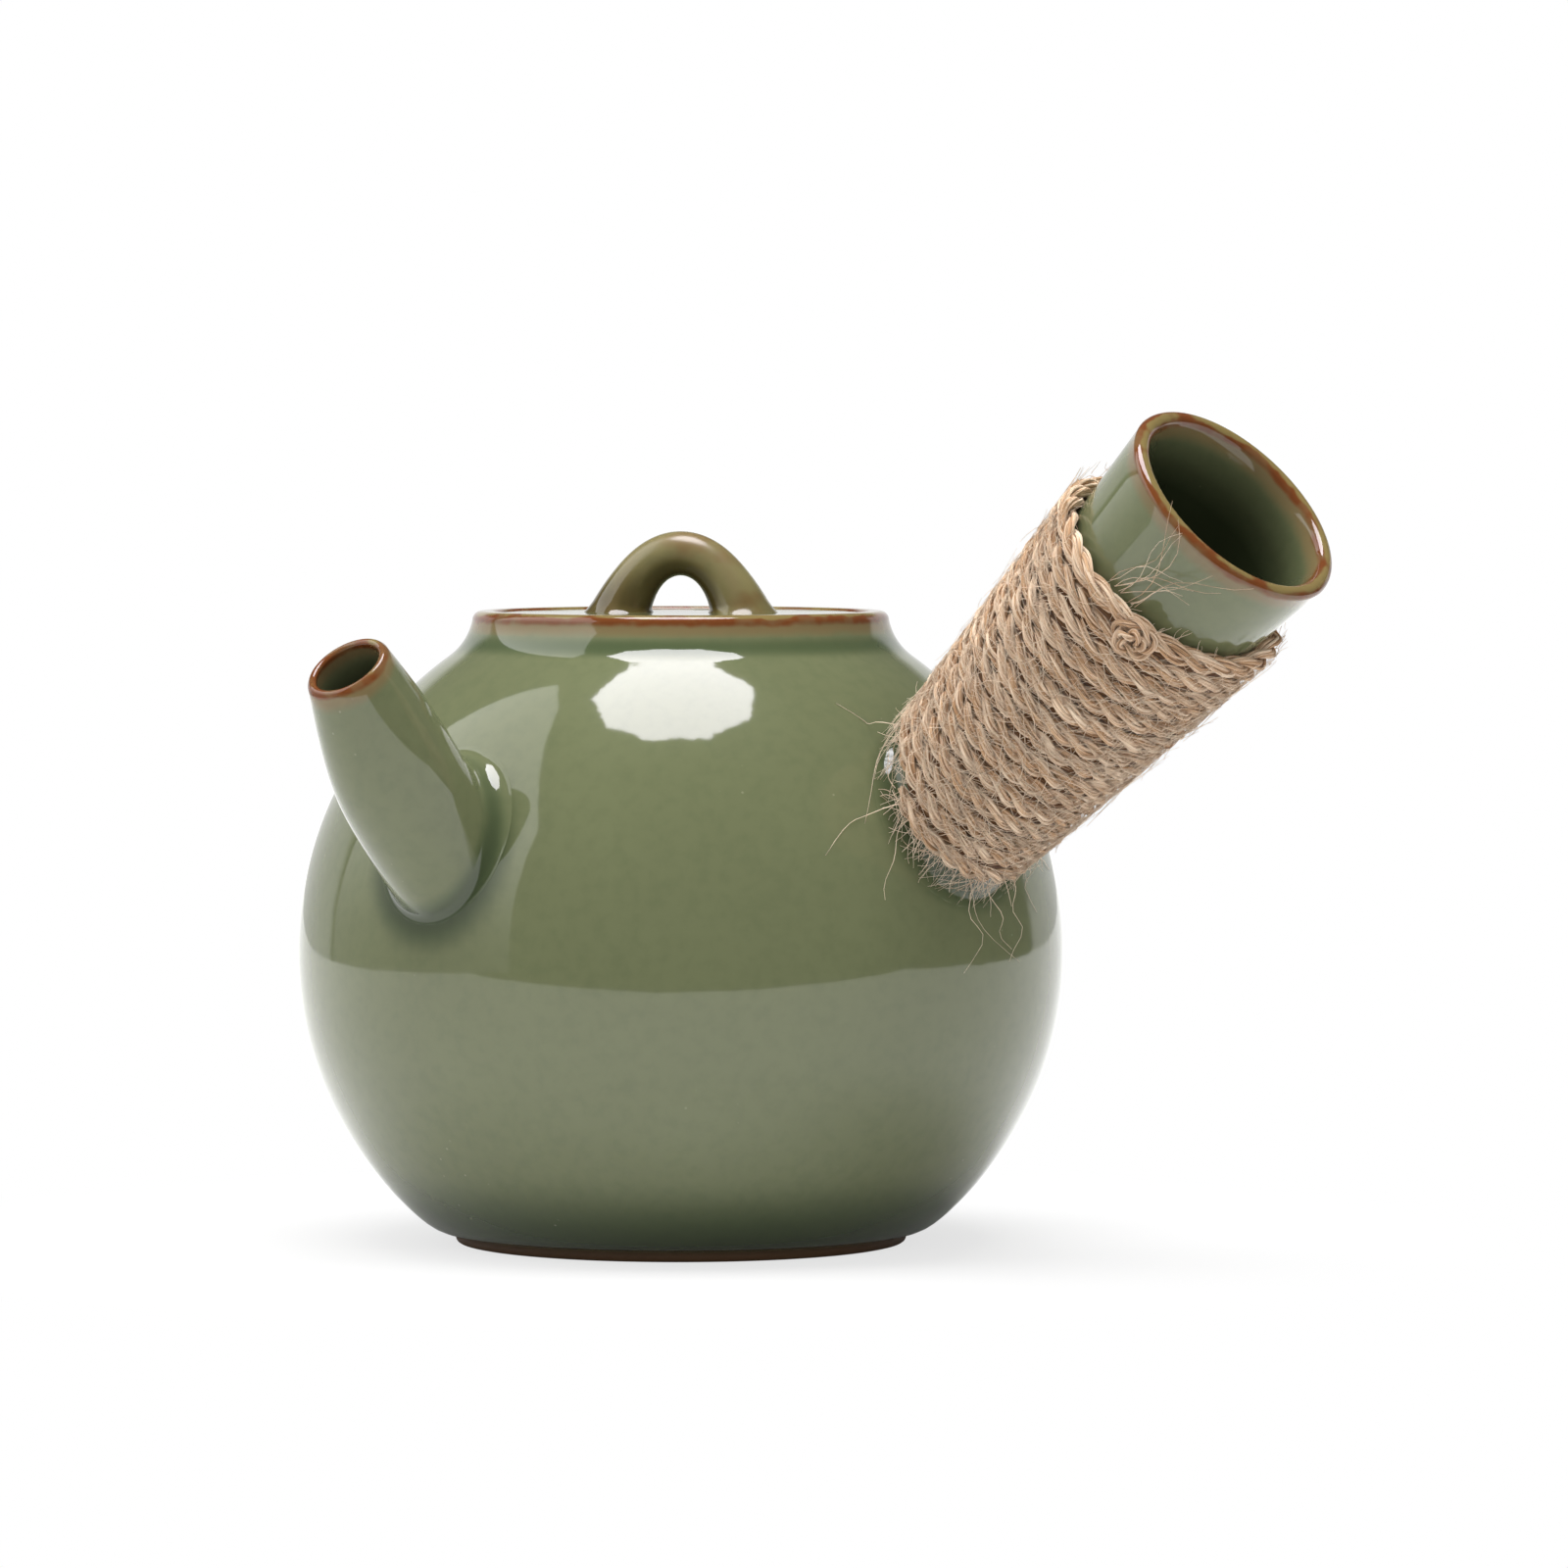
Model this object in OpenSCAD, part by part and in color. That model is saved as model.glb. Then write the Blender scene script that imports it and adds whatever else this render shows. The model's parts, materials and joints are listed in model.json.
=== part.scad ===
// Side-handle teapot: a round glazed pot with a drop-in lid, a short spout, and a hollow
// handle at a right angle to the spout, bound with twine.
// Millimetres. +Z is up, and the origin is the centre of the foot ring, where the pot stands.
// The spout points to -X and the handle to -Y.

/* [Pot] */
// Outside diameter at the widest point
belly_d = 90; // [84:1:98]
// Height of the widest point
belly_z = 34; // [32:0.5:36]
// Radius of the side's curve below the widest point
belly_low_r = 41; // [39:0.5:43]
// Radius of the side's curve above the widest point
belly_high_r = 43; // [42:0.5:45]
// Thickness of the wall
wall = 3.5; // [2.8:0.1:4.2]
// Thickness of the floor
floor_t = 4; // [3:0.5:6]
// Radius where the floor turns up into the wall
floor_fillet = 6; // [4:0.5:10]
// Outside diameter of the foot ring
foot_d = 53; // [48:0.5:56]
// Width of the ring that touches the table
foot_w = 4; // [3:0.5:6]
// Height of the foot ring under the belly
foot_h = 1.4; // [0.8:0.1:2.5]
// Depth of the hollow inside the foot ring
foot_hollow = 1.2; // [0.6:0.1:2]

/* [Collar and lid seat] */
// Outside diameter of the collar
rim_d = 48.6; // [45:0.2:53]
// Height of the rim above the shoulder
collar_h = 5.3; // [4.6:0.1:6.2]
// Radius of the hollow curve from shoulder to collar
collar_fillet = 7; // [5:0.5:9]
// Width of the rim's lip
rim_w = 2.7; // [2.2:0.1:3.4]
// Rounding of the rim's outer edge
rim_round = 1.1; // [0.6:0.1:1.2]
// Depth of the lid's seat below the rim
seat_depth = 3.2; // [2.6:0.1:4]
// Width of the ledge that carries the lid
ledge_w = 3; // [2:0.1:4]
// Thickness of the ledge at its nose
ledge_t = 2.6; // [2:0.1:3.4]

/* [Lid] */
// Free play round the lid's edge, on the radius
lid_play = 0.4; // [0.3:0.05:0.8]
// Gap between the lid and its ledge
seat_gap = 0.2; // [0.15:0.05:0.4]
// How far the lid's top lies below the rim
lid_drop = 0.2; // [0:0.1:0.8]
// Rounding of the lid's upper edge
lid_round = 0.9; // [0.4:0.1:1.2]
// Thickness of the lid's plate
plate_t = 3; // [2.4:0.1:4]
// How far the locating ring reaches below the ledge
flange_h = 7; // [4:0.5:10]
// Thickness of the locating ring
flange_w = 2.6; // [2:0.1:3.4]
// Free play between the locating ring and the mouth, on the radius
flange_play = 0.7; // [0.4:0.05:1.2]
// Diameter of the steam vent
vent_d = 2.6; // [2:0.1:3.5]
// Distance of the vent's middle from the locating ring
vent_from_flange = 3; // [2.4:0.1:3.6]

/* [Knob] */
// Half the span of the loop, at the middle of its legs
knob_half_span = 6; // [5:0.1:7]
// Rise of the loop's middle line above the lid
knob_rise = 6.9; // [6:0.1:8.5]
// Thickness at the top of the loop
knob_top_d = 5.2; // [4.4:0.1:6]
// Thickness of a leg where it meets the lid
knob_foot_d = 7.6; // [6.6:0.1:8.4]
// How far each leg splays outwards at its foot
knob_splay = 1.45; // [0.6:0.05:1.8]
// Turn of the loop about the lid's axis, from +X
knob_turn = -62; // [-90:1:90]

/* [Spout] */
// Height where the spout's axis meets the belly
spout_root_z = 47; // [44:0.5:50]
// Length of the spout along its axis
spout_l = 26.4; // [22:0.2:32]
// Slope of the spout above the level
spout_tilt = 56.5; // [50:0.5:60]
// Slope of the line square to the spout's mouth
spout_mouth_tilt = 50; // [46:0.5:60]
// Outside diameter at the mouth
spout_mouth_d = 9.8; // [8.6:0.1:12]
// Outside diameter of the lower half
spout_root_d = 15; // [13:0.1:17]
// Length over which the spout swells from mouth to full width
spout_swell = 18; // [12:0.5:22]
// Wall at the mouth
spout_lip = 1; // [0.8:0.1:1.4]
// Wall at the root
spout_wall = 2.3; // [1.8:0.1:3]
// Radius of the blend into the belly
spout_fillet = 3; // [2:0.1:4]

/* [Strainer] */
// Seat of the pierced dome round the hole into the spout
strainer_seat = 2.8; // [2:0.1:4]
// Thickness of the dome
strainer_t = 1.8; // [1.4:0.1:2.4]
// How far the dome's centre lies outside the inner wall
strainer_sink = 1; // [0:0.1:2]
// Diameter of a hole in the dome
strainer_hole_d = 1.8; // [1.4:0.1:2.2]
// Angle between one ring of holes and the next
strainer_step = 23; // [20:1:26]

/* [Handle] */
// Height where the handle's axis meets the belly
handle_root_z = 52.2; // [50:0.2:54]
// Length of the handle along its axis
handle_l = 53.8; // [46:0.2:62]
// Slope of the handle above the level
handle_tilt = 41; // [36:0.5:44]
// Outside diameter at the open end
handle_mouth_d = 27.5; // [24:0.1:30]
// Outside diameter at the root
handle_root_d = 17; // [15:0.1:19]
// Wall at the open end
handle_lip = 2; // [1.6:0.1:2.6]
// Wall at the root
handle_wall = 2.8; // [2.2:0.1:3.4]
// Radius of the blend into the belly, on the upper side
handle_fillet = 2.2; // [1.6:0.1:3]
// Radius of the blend into the belly, on the lower side
handle_fillet_low = 5; // [2:0.1:6]

/* [Twine] */
// Thickness of the twine
twine_d = 2.2; // [1.8:0.1:2.4]
// Gap between one turn and the next
twine_gap = 0.45; // [0.45:0.05:0.8]
// Distance from the handle's open end to the first turn
wrap_from_mouth = 11.4; // [8:0.2:16]
// Distance from the last turn to the blend at the root
wrap_from_blend = 0.3; // [0.2:0.1:8]
// Gap between the twine and the handle
wrap_gap = 0.2; // [0.2:0.05:0.4]
// Place of the twine's upper end round the handle, from its upper side
wrap_start_turn = 75; // [0:1:359]

/* [Hidden] */

$fn = 120;

// Gap left at joints that are luted with slip
luting = 0.06;
// Angles of a half turn and a quarter turn
half_turn = 180;
quarter_turn = 90;
// Directions that the spout and the handle point to, from +X
spout_heading = 180;
handle_heading = -90;
// Straight steps along the curves of the turned profiles
arc_steps = 10;
round_steps = 6;
// Sides and steps of the luted tubes
tube_sides = 40;
tube_steps = 9;
fillet_steps = 7;
lip_steps = 6;
seat_steps = 4;
// Halvings that find where a tube meets the belly
search_steps = 30;
// Sides and steps of the knob
knob_sides = 24;
knob_steps = 32;
// Sides of the twine, its steps in one turn, and the most turns it has
twine_sides = 6;
turn_steps = 24;
most_turns = 24;
// Rings of holes in the strainer, round the one at its middle
strainer_rings = 2;
holes_per_ring = 6;
// Small edges of the foot and the ledge
foot_chamfer = 0.4;
ledge_round = 0.6;
// Drop of the ledge's underside from its nose to the wall
ledge_drop = 2;
// Overrun of a cutter past the piece it cuts
cut_over = 6;

// Profile centres and radii, as distance from the axis and height
low_c = [belly_d / 2 - belly_low_r, belly_z];
high_c = [belly_d / 2 - belly_high_r, belly_z];
rim_r = rim_d / 2;
foot_r = foot_d / 2;
floor_z = foot_hollow + floor_t;

// The collar's hollow curve touches the belly's upper curve and the collar's side
collar_c_r = rim_r + collar_fillet;
shoulder_a = acos((collar_c_r - high_c.x) / (belly_high_r + collar_fillet));
collar_c = high_c + (belly_high_r + collar_fillet) * [cos(shoulder_a), sin(shoulder_a)];
shoulder_z = belly_z + belly_high_r * sin(shoulder_a);

// Levels and radii of the rim, the lid's seat and the mouth
rim_z = shoulder_z + collar_h;
lip_round = min(rim_round, 0.45 * rim_w);
lip_z = rim_z - lip_round;
collar_end_a = half_turn + asin(max(0, collar_c.y - lip_z) / collar_fillet);
lip_r = collar_c.x + collar_fillet * cos(collar_end_a);
gallery_r = lip_r - rim_w;
ledge_z = rim_z - seat_depth;
mouth_r = gallery_r - ledge_w;
throat_z = ledge_z - ledge_t - ledge_drop;

// The collar sits on the shoulder along a line from the outside of the wall to the throat
shoulder_p = high_c + belly_high_r * [cos(shoulder_a), sin(shoulder_a)];
throat_p = [high_c.x + sqrt((belly_high_r - wall) ^ 2 - (throat_z - belly_z) ^ 2), throat_z];
collar_lift = luting / norm(shoulder_p - throat_p) * [throat_p.y - shoulder_p.y, shoulder_p.x - throat_p.x];

// Levels and radii of the lid
lid_r = gallery_r - lid_play;
lid_top = rim_z - lid_drop;
lid_seat = ledge_z + seat_gap;
flange_r = mouth_r - flange_play;
flange_in_r = flange_r - flange_w;
flange_z = ledge_z - flange_h;
plate_z = lid_top - plate_t;

function unit(v) = v / norm(v);
function mix(a, b, t) = a + (b - a) * t;

// Points on an arc, from angle a0 to a1
function arc(c, r, a0, a1, steps) =
    [for (i = [0 : steps]) c + r * [cos(mix(a0, a1, i / steps)), sin(mix(a0, a1, i / steps))]];

// The same points without the first, where a curve goes on from the one before
function after_first(points) = [for (i = [1 : len(points) - 1]) points[i]];

// The pot's side as two curves that meet at the belly
function side_c(z) = z > belly_z ? high_c : low_c;
function side_r(z) = z > belly_z ? belly_high_r : belly_low_r;
// Direction square to the side, in the half plane of the profile
function side_n(p) = unit([norm([p.x, p.y]), p.z] - side_c(p.z));
// Distance of a point outside the pot's side
function off_side(p) = norm([norm([p.x, p.y]), p.z] - side_c(p.z)) - side_r(p.z);
// A flat point of the profile, turned to the heading of a point in space
function at_heading(p, q) = let (h = unit([p.x, p.y])) [h.x * q.x, h.y * q.x, q.y];
function side_normal(p) = at_heading(p, side_n(p));
// The point at a given distance off the side that lies nearest to p
function on_side(p, off) = at_heading(p, side_c(p.z) + (side_r(p.z) + off) * side_n(p));
// The point of the side at height z, in the plane of +X
function side_point(z) = [side_c(z).x + sqrt(side_r(z) ^ 2 - (z - belly_z) ^ 2), 0, z];

// Axis of a tube that leaves the pot's side in the plane of +X, and its upper side
function tube_axis(tilt) = [cos(tilt), 0, sin(tilt)];
function tube_up(tilt) = [-sin(tilt), 0, cos(tilt)];
function tube_mouth(root_z, length, tilt) = side_point(root_z) + length * tube_axis(tilt);
// Direction square to that axis, at an angle from the upper side
function spoke(tilt, a) = cos(a) * tube_up(tilt) + sin(a) * [0, 1, 0];

// Radii of the spout and the handle, by the distance from the mouth
spout_outer = function(l) mix(spout_mouth_d, spout_root_d, sin(quarter_turn * min(1, l / spout_swell))) / 2;
spout_bore = function(l) spout_outer(l) - mix(spout_lip, spout_wall, min(1, l / spout_swell));
handle_outer = function(l) mix(handle_mouth_d, handle_root_d, l / handle_l) / 2;
handle_bore = function(l) handle_outer(l) - mix(handle_lip, handle_wall, min(1, l / handle_l));

// Where the spout's axis leaves the inside of the wall, and the dome that covers the hole there
spout_bore_r = spout_bore(spout_l);
spout_root = side_point(spout_root_z);
spout_square = tube_axis(spout_tilt) * side_normal(spout_root);
strainer_c = on_side(spout_root - wall / spout_square * tube_axis(spout_tilt), strainer_sink - wall);
strainer_r = spout_bore_r / spout_square + strainer_seat;

// Faces between rings of points, the last ring joined to the first where the tube closes on itself
function ring_faces(rings, sides, closed) = [
    for (i = [0 : rings - (closed ? 1 : 2)], k = [0 : sides - 1])
        let (j = (i + 1) % rings, m = (k + 1) % sides)
        each [[i * sides + k, j * sides + m, i * sides + m], [i * sides + k, j * sides + k, j * sides + m]]
];
// Faces that close the two ends of an open tube
function end_faces(rings, sides) = [
    for (k = [1 : sides - 2]) each [[0, k, k + 1], [for (m = [0, k + 1, k]) (rings - 1) * sides + m]]
];
function flat_list(rings) = [for (ring = rings) each ring];

module ring_solid(rings, closed) {
    sides = len(rings[0]);
    faces = ring_faces(len(rings), sides, closed);
    polyhedron(flat_list(rings), closed ? faces : concat(faces, end_faces(len(rings), sides)), convexity = 8);
}

// Distance along a line, given as a function, at which it reaches the pot's side
function root_along(line, lo, hi, n = search_steps) =
    let (mid = (lo + hi) / 2)
    n == 0 ? mid
    : off_side(line(mid)) > luting ? root_along(line, mid, hi, n - 1)
    : root_along(line, lo, mid, n - 1);
// Direction along the pot's side that leads away from a tube, and half the angle between the two
function away_from(tilt, a, p) =
    let (n = side_normal(p), s = spoke(tilt, a)) unit(s - (s * n) * n);
function corner_half_angle(tilt, a, p) = acos(away_from(tilt, a, p) * tube_axis(tilt)) / 2;
// Radius of a blend that changes from the upper side of a tube to the lower
function blend_r(upper, lower, a) = mix(upper, lower, (1 - cos(a)) / 2);
// Distance from the mouth to the point of a tube's axis that lies deepest in the pot
function deepest(mouth, tilt) = tube_axis(tilt) * (mouth - [0, 0, belly_z]);

// A hollow tube luted on the pot's side. outer and bore give its radii by the distance from the
// mouth, and the fillets are the radii of the blend at its root.
module luted_tube(root_z, length, tilt, mouth_tilt, outer, bore, fillet, fillet_low) {
    axis = tube_axis(tilt);
    mouth = tube_mouth(root_z, length, tilt);
    slant = tan(tilt - mouth_tilt);
    half_lip = (outer(0) - bore(0)) / 2;
    lip_mid = (outer(0) + bore(0)) / 2;
    lines = [0 : tube_sides - 1];
    angles = [for (k = lines) k * 2 * half_turn / tube_sides];

    function at(l, r, a) =
        mouth + (r * cos(a) * slant * max(0, 1 - l / length) - l) * axis + r * spoke(tilt, a);
    function wall_point(k, radius, l) = at(l, radius(l), angles[k]);
    function wall_ring(radius, l0, l1, t) = [for (k = lines) wall_point(k, radius, mix(l0[k], l1[k], t))];
    function roots(radius) =
        [for (a = angles) root_along(function(l) at(l, radius(l), a), 0, deepest(mouth, tilt))];

    outer_root = roots(outer);
    bore_root = roots(bore);
    corner = [for (k = lines) wall_point(k, outer, outer_root[k])];
    bore_end = [for (k = lines) wall_point(k, bore, bore_root[k])];
    half_angle = [for (k = lines) corner_half_angle(tilt, angles[k], corner[k])];
    reach = [for (k = lines) blend_r(fillet, fillet_low, angles[k]) / tan(half_angle[k])];
    toe = [for (k = lines) on_side(corner[k] + reach[k] * away_from(tilt, angles[k], corner[k]), luting)];
    top_l = [for (k = lines) outer_root[k] - reach[k]];
    lip_l = [for (k = lines) half_lip];

    // A round blend between toe and tube, as a weighted curve about the corner
    function blend(k, t) =
        let (top = wall_point(k, outer, top_l[k]), w = 2 * t * (1 - t) * sin(half_angle[k]))
        (t ^ 2 * top + w * corner[k] + (1 - t) ^ 2 * toe[k]) / (t ^ 2 + w + (1 - t) ^ 2);

    ring_solid(concat(
        [for (i = [0 : fillet_steps]) [for (k = lines) blend(k, i / fillet_steps)]],
        [for (i = [1 : tube_steps]) wall_ring(outer, top_l, lip_l, i / tube_steps)],
        [for (i = [1 : lip_steps - 1]) let (p = half_turn * i / lip_steps)
            [for (a = angles) at(half_lip * (1 - sin(p)), lip_mid + half_lip * cos(p), a)]],
        [for (i = [0 : tube_steps]) wall_ring(bore, lip_l, bore_root, i / tube_steps)],
        [for (i = [1 : seat_steps - 1])
            [for (k = lines) on_side(mix(bore_end[k], toe[k], i / seat_steps), luting)]]
    ), true);
}

// Profile of the lower half, from the middle of the foot up the outside to the widest point, then
// down the inside to the middle of the floor
function body_profile() =
    let (
        low_r = belly_low_r - wall,
        floor_c_z = floor_z + floor_fillet,
        floor_a = asin((floor_c_z - belly_z) / (low_r - floor_fillet)),
        floor_c = [low_c.x + (low_r - floor_fillet) * cos(floor_a), floor_c_z]
    )
    concat(
        [[0, foot_hollow], [foot_r - foot_w - foot_hollow, foot_hollow], [foot_r - foot_w, 0]],
        [[foot_r - foot_chamfer, 0], [foot_r, foot_chamfer], [foot_r, foot_h]],
        arc(low_c, belly_low_r, asin((foot_h - belly_z) / belly_low_r), 0, arc_steps),
        arc(low_c, low_r, 0, floor_a, arc_steps),
        after_first(arc(floor_c, floor_fillet, floor_a, -quarter_turn, round_steps)),
        [[0, floor_z]]
    );

// Profile of the upper half, from its seat at the widest point up the outside to the shoulder, then
// down the inside from the throat
function shoulder_profile() =
    let (high_r = belly_high_r - wall)
    concat(
        arc(high_c, belly_high_r, asin(luting / belly_high_r), shoulder_a, arc_steps),
        arc(high_c, high_r, asin((throat_z - belly_z) / high_r), asin(luting / high_r), arc_steps)
    );

// Profile of the collar, from its seat on the shoulder over the rim and the lid's ledge to the throat
function collar_profile() = concat(
    [shoulder_p + collar_lift],
    after_first(arc(collar_c, collar_fillet, shoulder_a + half_turn, collar_end_a, round_steps)),
    arc([lip_r - lip_round, lip_z], lip_round, 0, quarter_turn, round_steps),
    [[gallery_r + ledge_round, rim_z], [gallery_r, rim_z - ledge_round],
     [gallery_r, ledge_z], [mouth_r + ledge_round, ledge_z],
     [mouth_r, ledge_z - ledge_round], [mouth_r, ledge_z - ledge_t], throat_p + collar_lift]
);

// The lower half of the turned pot, a bowl with its foot ring
module pot_body() {
    color("#6f7d56") rotate_extrude() polygon(body_profile());
}

// The upper half of the turned pot, with the hole into the spout
module pot_shoulder() {
    color("#6f7d56") difference() {
        rotate_extrude() polygon(shoulder_profile());
        rotate(spout_heading) translate(spout_root) rotate([0, quarter_turn - spout_tilt, 0])
            translate([0, 0, -wall - strainer_r])
                cylinder(r = spout_bore_r, h = wall + strainer_r + cut_over);
    }
}

// The collar, a ring with the rim and the seat for the lid
module pot_collar() {
    color("#6f7d56") rotate_extrude() polygon(collar_profile());
}

module spout() {
    color("#6f7d56") rotate(spout_heading)
        luted_tube(spout_root_z, spout_l, spout_tilt, spout_mouth_tilt, spout_outer, spout_bore,
                   spout_fillet, spout_fillet);
}

module side_handle() {
    color("#74825c") rotate(handle_heading)
        luted_tube(handle_root_z, handle_l, handle_tilt, handle_tilt, handle_outer, handle_bore,
                   handle_fillet, handle_fillet_low);
}

// A pierced dome on the inner wall that holds the leaves back
module strainer() {
    inward = -side_normal(strainer_c);
    color("#66744e") rotate(spout_heading) intersection() {
        translate(strainer_c) rotate([0, atan2(inward.x, inward.z), 0]) difference() {
            sphere(r = strainer_r);
            sphere(r = strainer_r - strainer_t);
            for (ring = [0 : strainer_rings], i = [0 : max(1, holes_per_ring * ring) - 1])
                rotate([0, ring * strainer_step, i * 2 * half_turn / max(1, holes_per_ring * ring)])
                    translate([0, 0, strainer_r - 2 * strainer_t])
                        cylinder(d = strainer_hole_d, h = 3 * strainer_t);
        }
        rotate_extrude() intersection() {
            translate(high_c) circle(r = belly_high_r - wall - luting);
            translate([0, high_c.y - belly_high_r]) square(2 * belly_high_r);
        }
    }
}

// The drop-in lid, with its locating ring and a steam vent
module lid() {
    color("#6a7650") difference() {
        rotate_extrude() polygon(concat(
            [[0, plate_z], [flange_in_r - ledge_round, plate_z], [flange_in_r, plate_z - ledge_round],
             [flange_in_r, flange_z + ledge_round], [flange_in_r + ledge_round, flange_z],
             [flange_r - ledge_round, flange_z], [flange_r, flange_z + ledge_round],
             [flange_r, lid_seat], [lid_r, lid_seat]],
            arc([lid_r - lid_round, lid_top - lid_round], lid_round, 0, quarter_turn, round_steps),
            [[0, lid_top]]
        ));
        rotate(knob_turn + quarter_turn) translate([flange_in_r - vent_from_flange, 0, plate_z - cut_over])
            cylinder(d = vent_d, h = plate_t + 2 * cut_over);
    }
}

// A loop of round section with splayed feet
module lid_knob() {
    function foot_share(a) = (1 - sin(a)) ^ 2;
    function thick(a) = mix(knob_top_d, knob_foot_d, foot_share(a)) / 2;
    function middle(a) = [cos(a) * (knob_half_span + knob_splay * foot_share(a)), 0, knob_rise * sin(a)];
    function outward(a) = unit([cos(a) / knob_half_span, 0, sin(a) / knob_rise]);
    color("#77704a") translate([0, 0, lid_top + luting]) rotate(knob_turn) ring_solid([
        for (i = [0 : knob_steps]) let (a = half_turn * i / knob_steps)
            [for (k = [0 : knob_sides - 1]) let (b = 2 * half_turn * k / knob_sides)
                middle(a) + thick(a) * (cos(b) * outward(a) + sin(b) * [0, 1, 0])]
    ], false);
}

// The twine's middle line winds down the handle. Its lowest turns lie along the blend at the root,
// and each end runs straight on for one thickness.
handle_mouth = tube_mouth(handle_root_z, handle_l, handle_tilt);
function off_handle(l, a, off) =
    handle_mouth - l * tube_axis(handle_tilt) + (handle_outer(l) + off) * spoke(handle_tilt, a);
// Distance from the mouth to the start of the blend
function handle_blend_l(a) =
    let (
        l = root_along(function(l) off_handle(l, a, 0), 0, deepest(handle_mouth, handle_tilt)),
        half_angle = corner_half_angle(handle_tilt, a, off_handle(l, a, 0))
    )
    l - blend_r(handle_fillet, handle_fillet_low, a) / tan(half_angle);
wrap_end = handle_blend_l(0) - wrap_from_blend;
wrap_dip = handle_blend_l(half_turn) - handle_blend_l(0);
twine_pitch = (twine_d + twine_gap) * cos(atan((handle_mouth_d - handle_root_d) / 2 / handle_l));
twine_steps = floor(turn_steps * min(most_turns, (wrap_end - wrap_from_mouth) / twine_pitch));
function twine_turn(i) = wrap_start_turn + i * 2 * half_turn / turn_steps;
function twine_place(i) =
    let (dip = wrap_dip * i / twine_steps * (1 - cos(twine_turn(i))) / 2)
    off_handle(wrap_from_mouth + twine_pitch * i / turn_steps + dip, twine_turn(i), wrap_gap + twine_d / 2);
function twine_along(i) = unit(twine_place(i + 0.5) - twine_place(i - 0.5));
function twine_ring(i, p) =
    let (across = spoke(handle_tilt, twine_turn(i)), beside = cross(twine_along(i), across))
    [for (k = [0 : twine_sides - 1]) let (b = 2 * half_turn * k / twine_sides)
        p + twine_d / 2 * (cos(b) * across + sin(b) * beside)];

twine_line = [for (i = [0 : twine_steps]) twine_place(i)];
// Least gap between one turn and the next, measured along the middle line
twine_clear = min([for (i = [0 : twine_steps], k = [turn_steps / 2 : turn_steps * 1.5])
    if (i + k <= twine_steps) norm(twine_line[i] - twine_line[i + k])]) - twine_d;
echo(twine_turns = twine_steps / turn_steps, twine_least_gap = twine_clear);

module twine_wrap() {
    color("#be9a70") rotate(handle_heading) ring_solid(concat(
        [twine_ring(0, twine_line[0] - twine_d * twine_along(0))],
        [for (i = [0 : twine_steps]) twine_ring(i, twine_line[i])],
        [twine_ring(twine_steps, twine_line[twine_steps] + twine_d * twine_along(twine_steps))]
    ), false);
}

pot_body();
pot_shoulder();
pot_collar();
spout();
side_handle();
strainer();
lid();
lid_knob();
twine_wrap();
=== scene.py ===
"""A side-handle teapot in celadon glaze with a twine-bound handle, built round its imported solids."""

import json
import math

import bmesh
import bpy
import numpy as np
from bpy.props import FloatProperty, FloatVectorProperty, IntProperty, PointerProperty
from mathutils import Matrix, Vector

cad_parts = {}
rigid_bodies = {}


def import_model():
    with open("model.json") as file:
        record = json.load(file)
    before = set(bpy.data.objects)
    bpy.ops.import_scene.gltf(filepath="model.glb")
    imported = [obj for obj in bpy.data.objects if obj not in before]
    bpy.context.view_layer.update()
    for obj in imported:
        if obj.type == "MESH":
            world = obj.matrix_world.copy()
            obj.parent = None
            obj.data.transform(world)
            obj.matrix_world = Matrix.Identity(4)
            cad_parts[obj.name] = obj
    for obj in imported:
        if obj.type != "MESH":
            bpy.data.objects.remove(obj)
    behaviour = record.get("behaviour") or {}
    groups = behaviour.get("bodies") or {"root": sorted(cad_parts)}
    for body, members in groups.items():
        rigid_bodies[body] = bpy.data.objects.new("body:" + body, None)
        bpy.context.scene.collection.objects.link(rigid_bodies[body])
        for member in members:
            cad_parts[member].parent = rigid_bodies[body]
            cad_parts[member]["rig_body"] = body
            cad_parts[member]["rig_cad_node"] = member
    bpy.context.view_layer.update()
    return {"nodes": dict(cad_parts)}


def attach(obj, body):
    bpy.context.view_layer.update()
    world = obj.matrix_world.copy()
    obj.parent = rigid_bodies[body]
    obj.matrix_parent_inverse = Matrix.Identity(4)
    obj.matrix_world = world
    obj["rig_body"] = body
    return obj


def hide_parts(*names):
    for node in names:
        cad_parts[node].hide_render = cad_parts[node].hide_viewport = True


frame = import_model()

bl_info = {
    "name": "Side-handle teapot",
    "version": (1, 0, 0),
    "blender": (4, 5, 0),
    "location": "View3D > Sidebar > Teapot",
    "description": "Models a glazed side-handle teapot with a twine-bound handle",
    "category": "Add Mesh",
}

MM = 0.001
QUARTER = math.pi / 2
TURN = 2 * math.pi
ASIDE = np.array((0, 1, 0))
SPOUT_HEADING = math.radians(180)
HANDLE_HEADING = math.radians(-90)

# Vertices closer than this are merged
MERGE = 0.002 * MM
# Facets round a drilled hole, a strand of twine and a loose fibre
HOLE_SIDES = 64
STRAND_SIDES = 4
FIBRE_SIDES = 3
# The toe of a blend runs on under the pot's side, this far out and this deep
TOE = ((0.25 * MM, 0.12 * MM), (0.08 * MM, 0.012 * MM))
# A vertex no deeper than this under the pot's side counts as glazed
GLAZED = 0.5 * MM
# How far from a crease the glaze pools and painted shade reaches
POOL_SHADE_REACH = 4.8 * MM
# Strands in a ply, and the length over which a ply thins out at its ends
STRANDS = 7
PLY_TIP = 4 * MM
# Shares of the twine's thickness: a ply off the middle line, its core, a strand off the core, a strand
PLY_OFF = 0.275
CORE_R = 0.13
STRAND_OFF = 0.160
STRAND_R = 0.085
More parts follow.
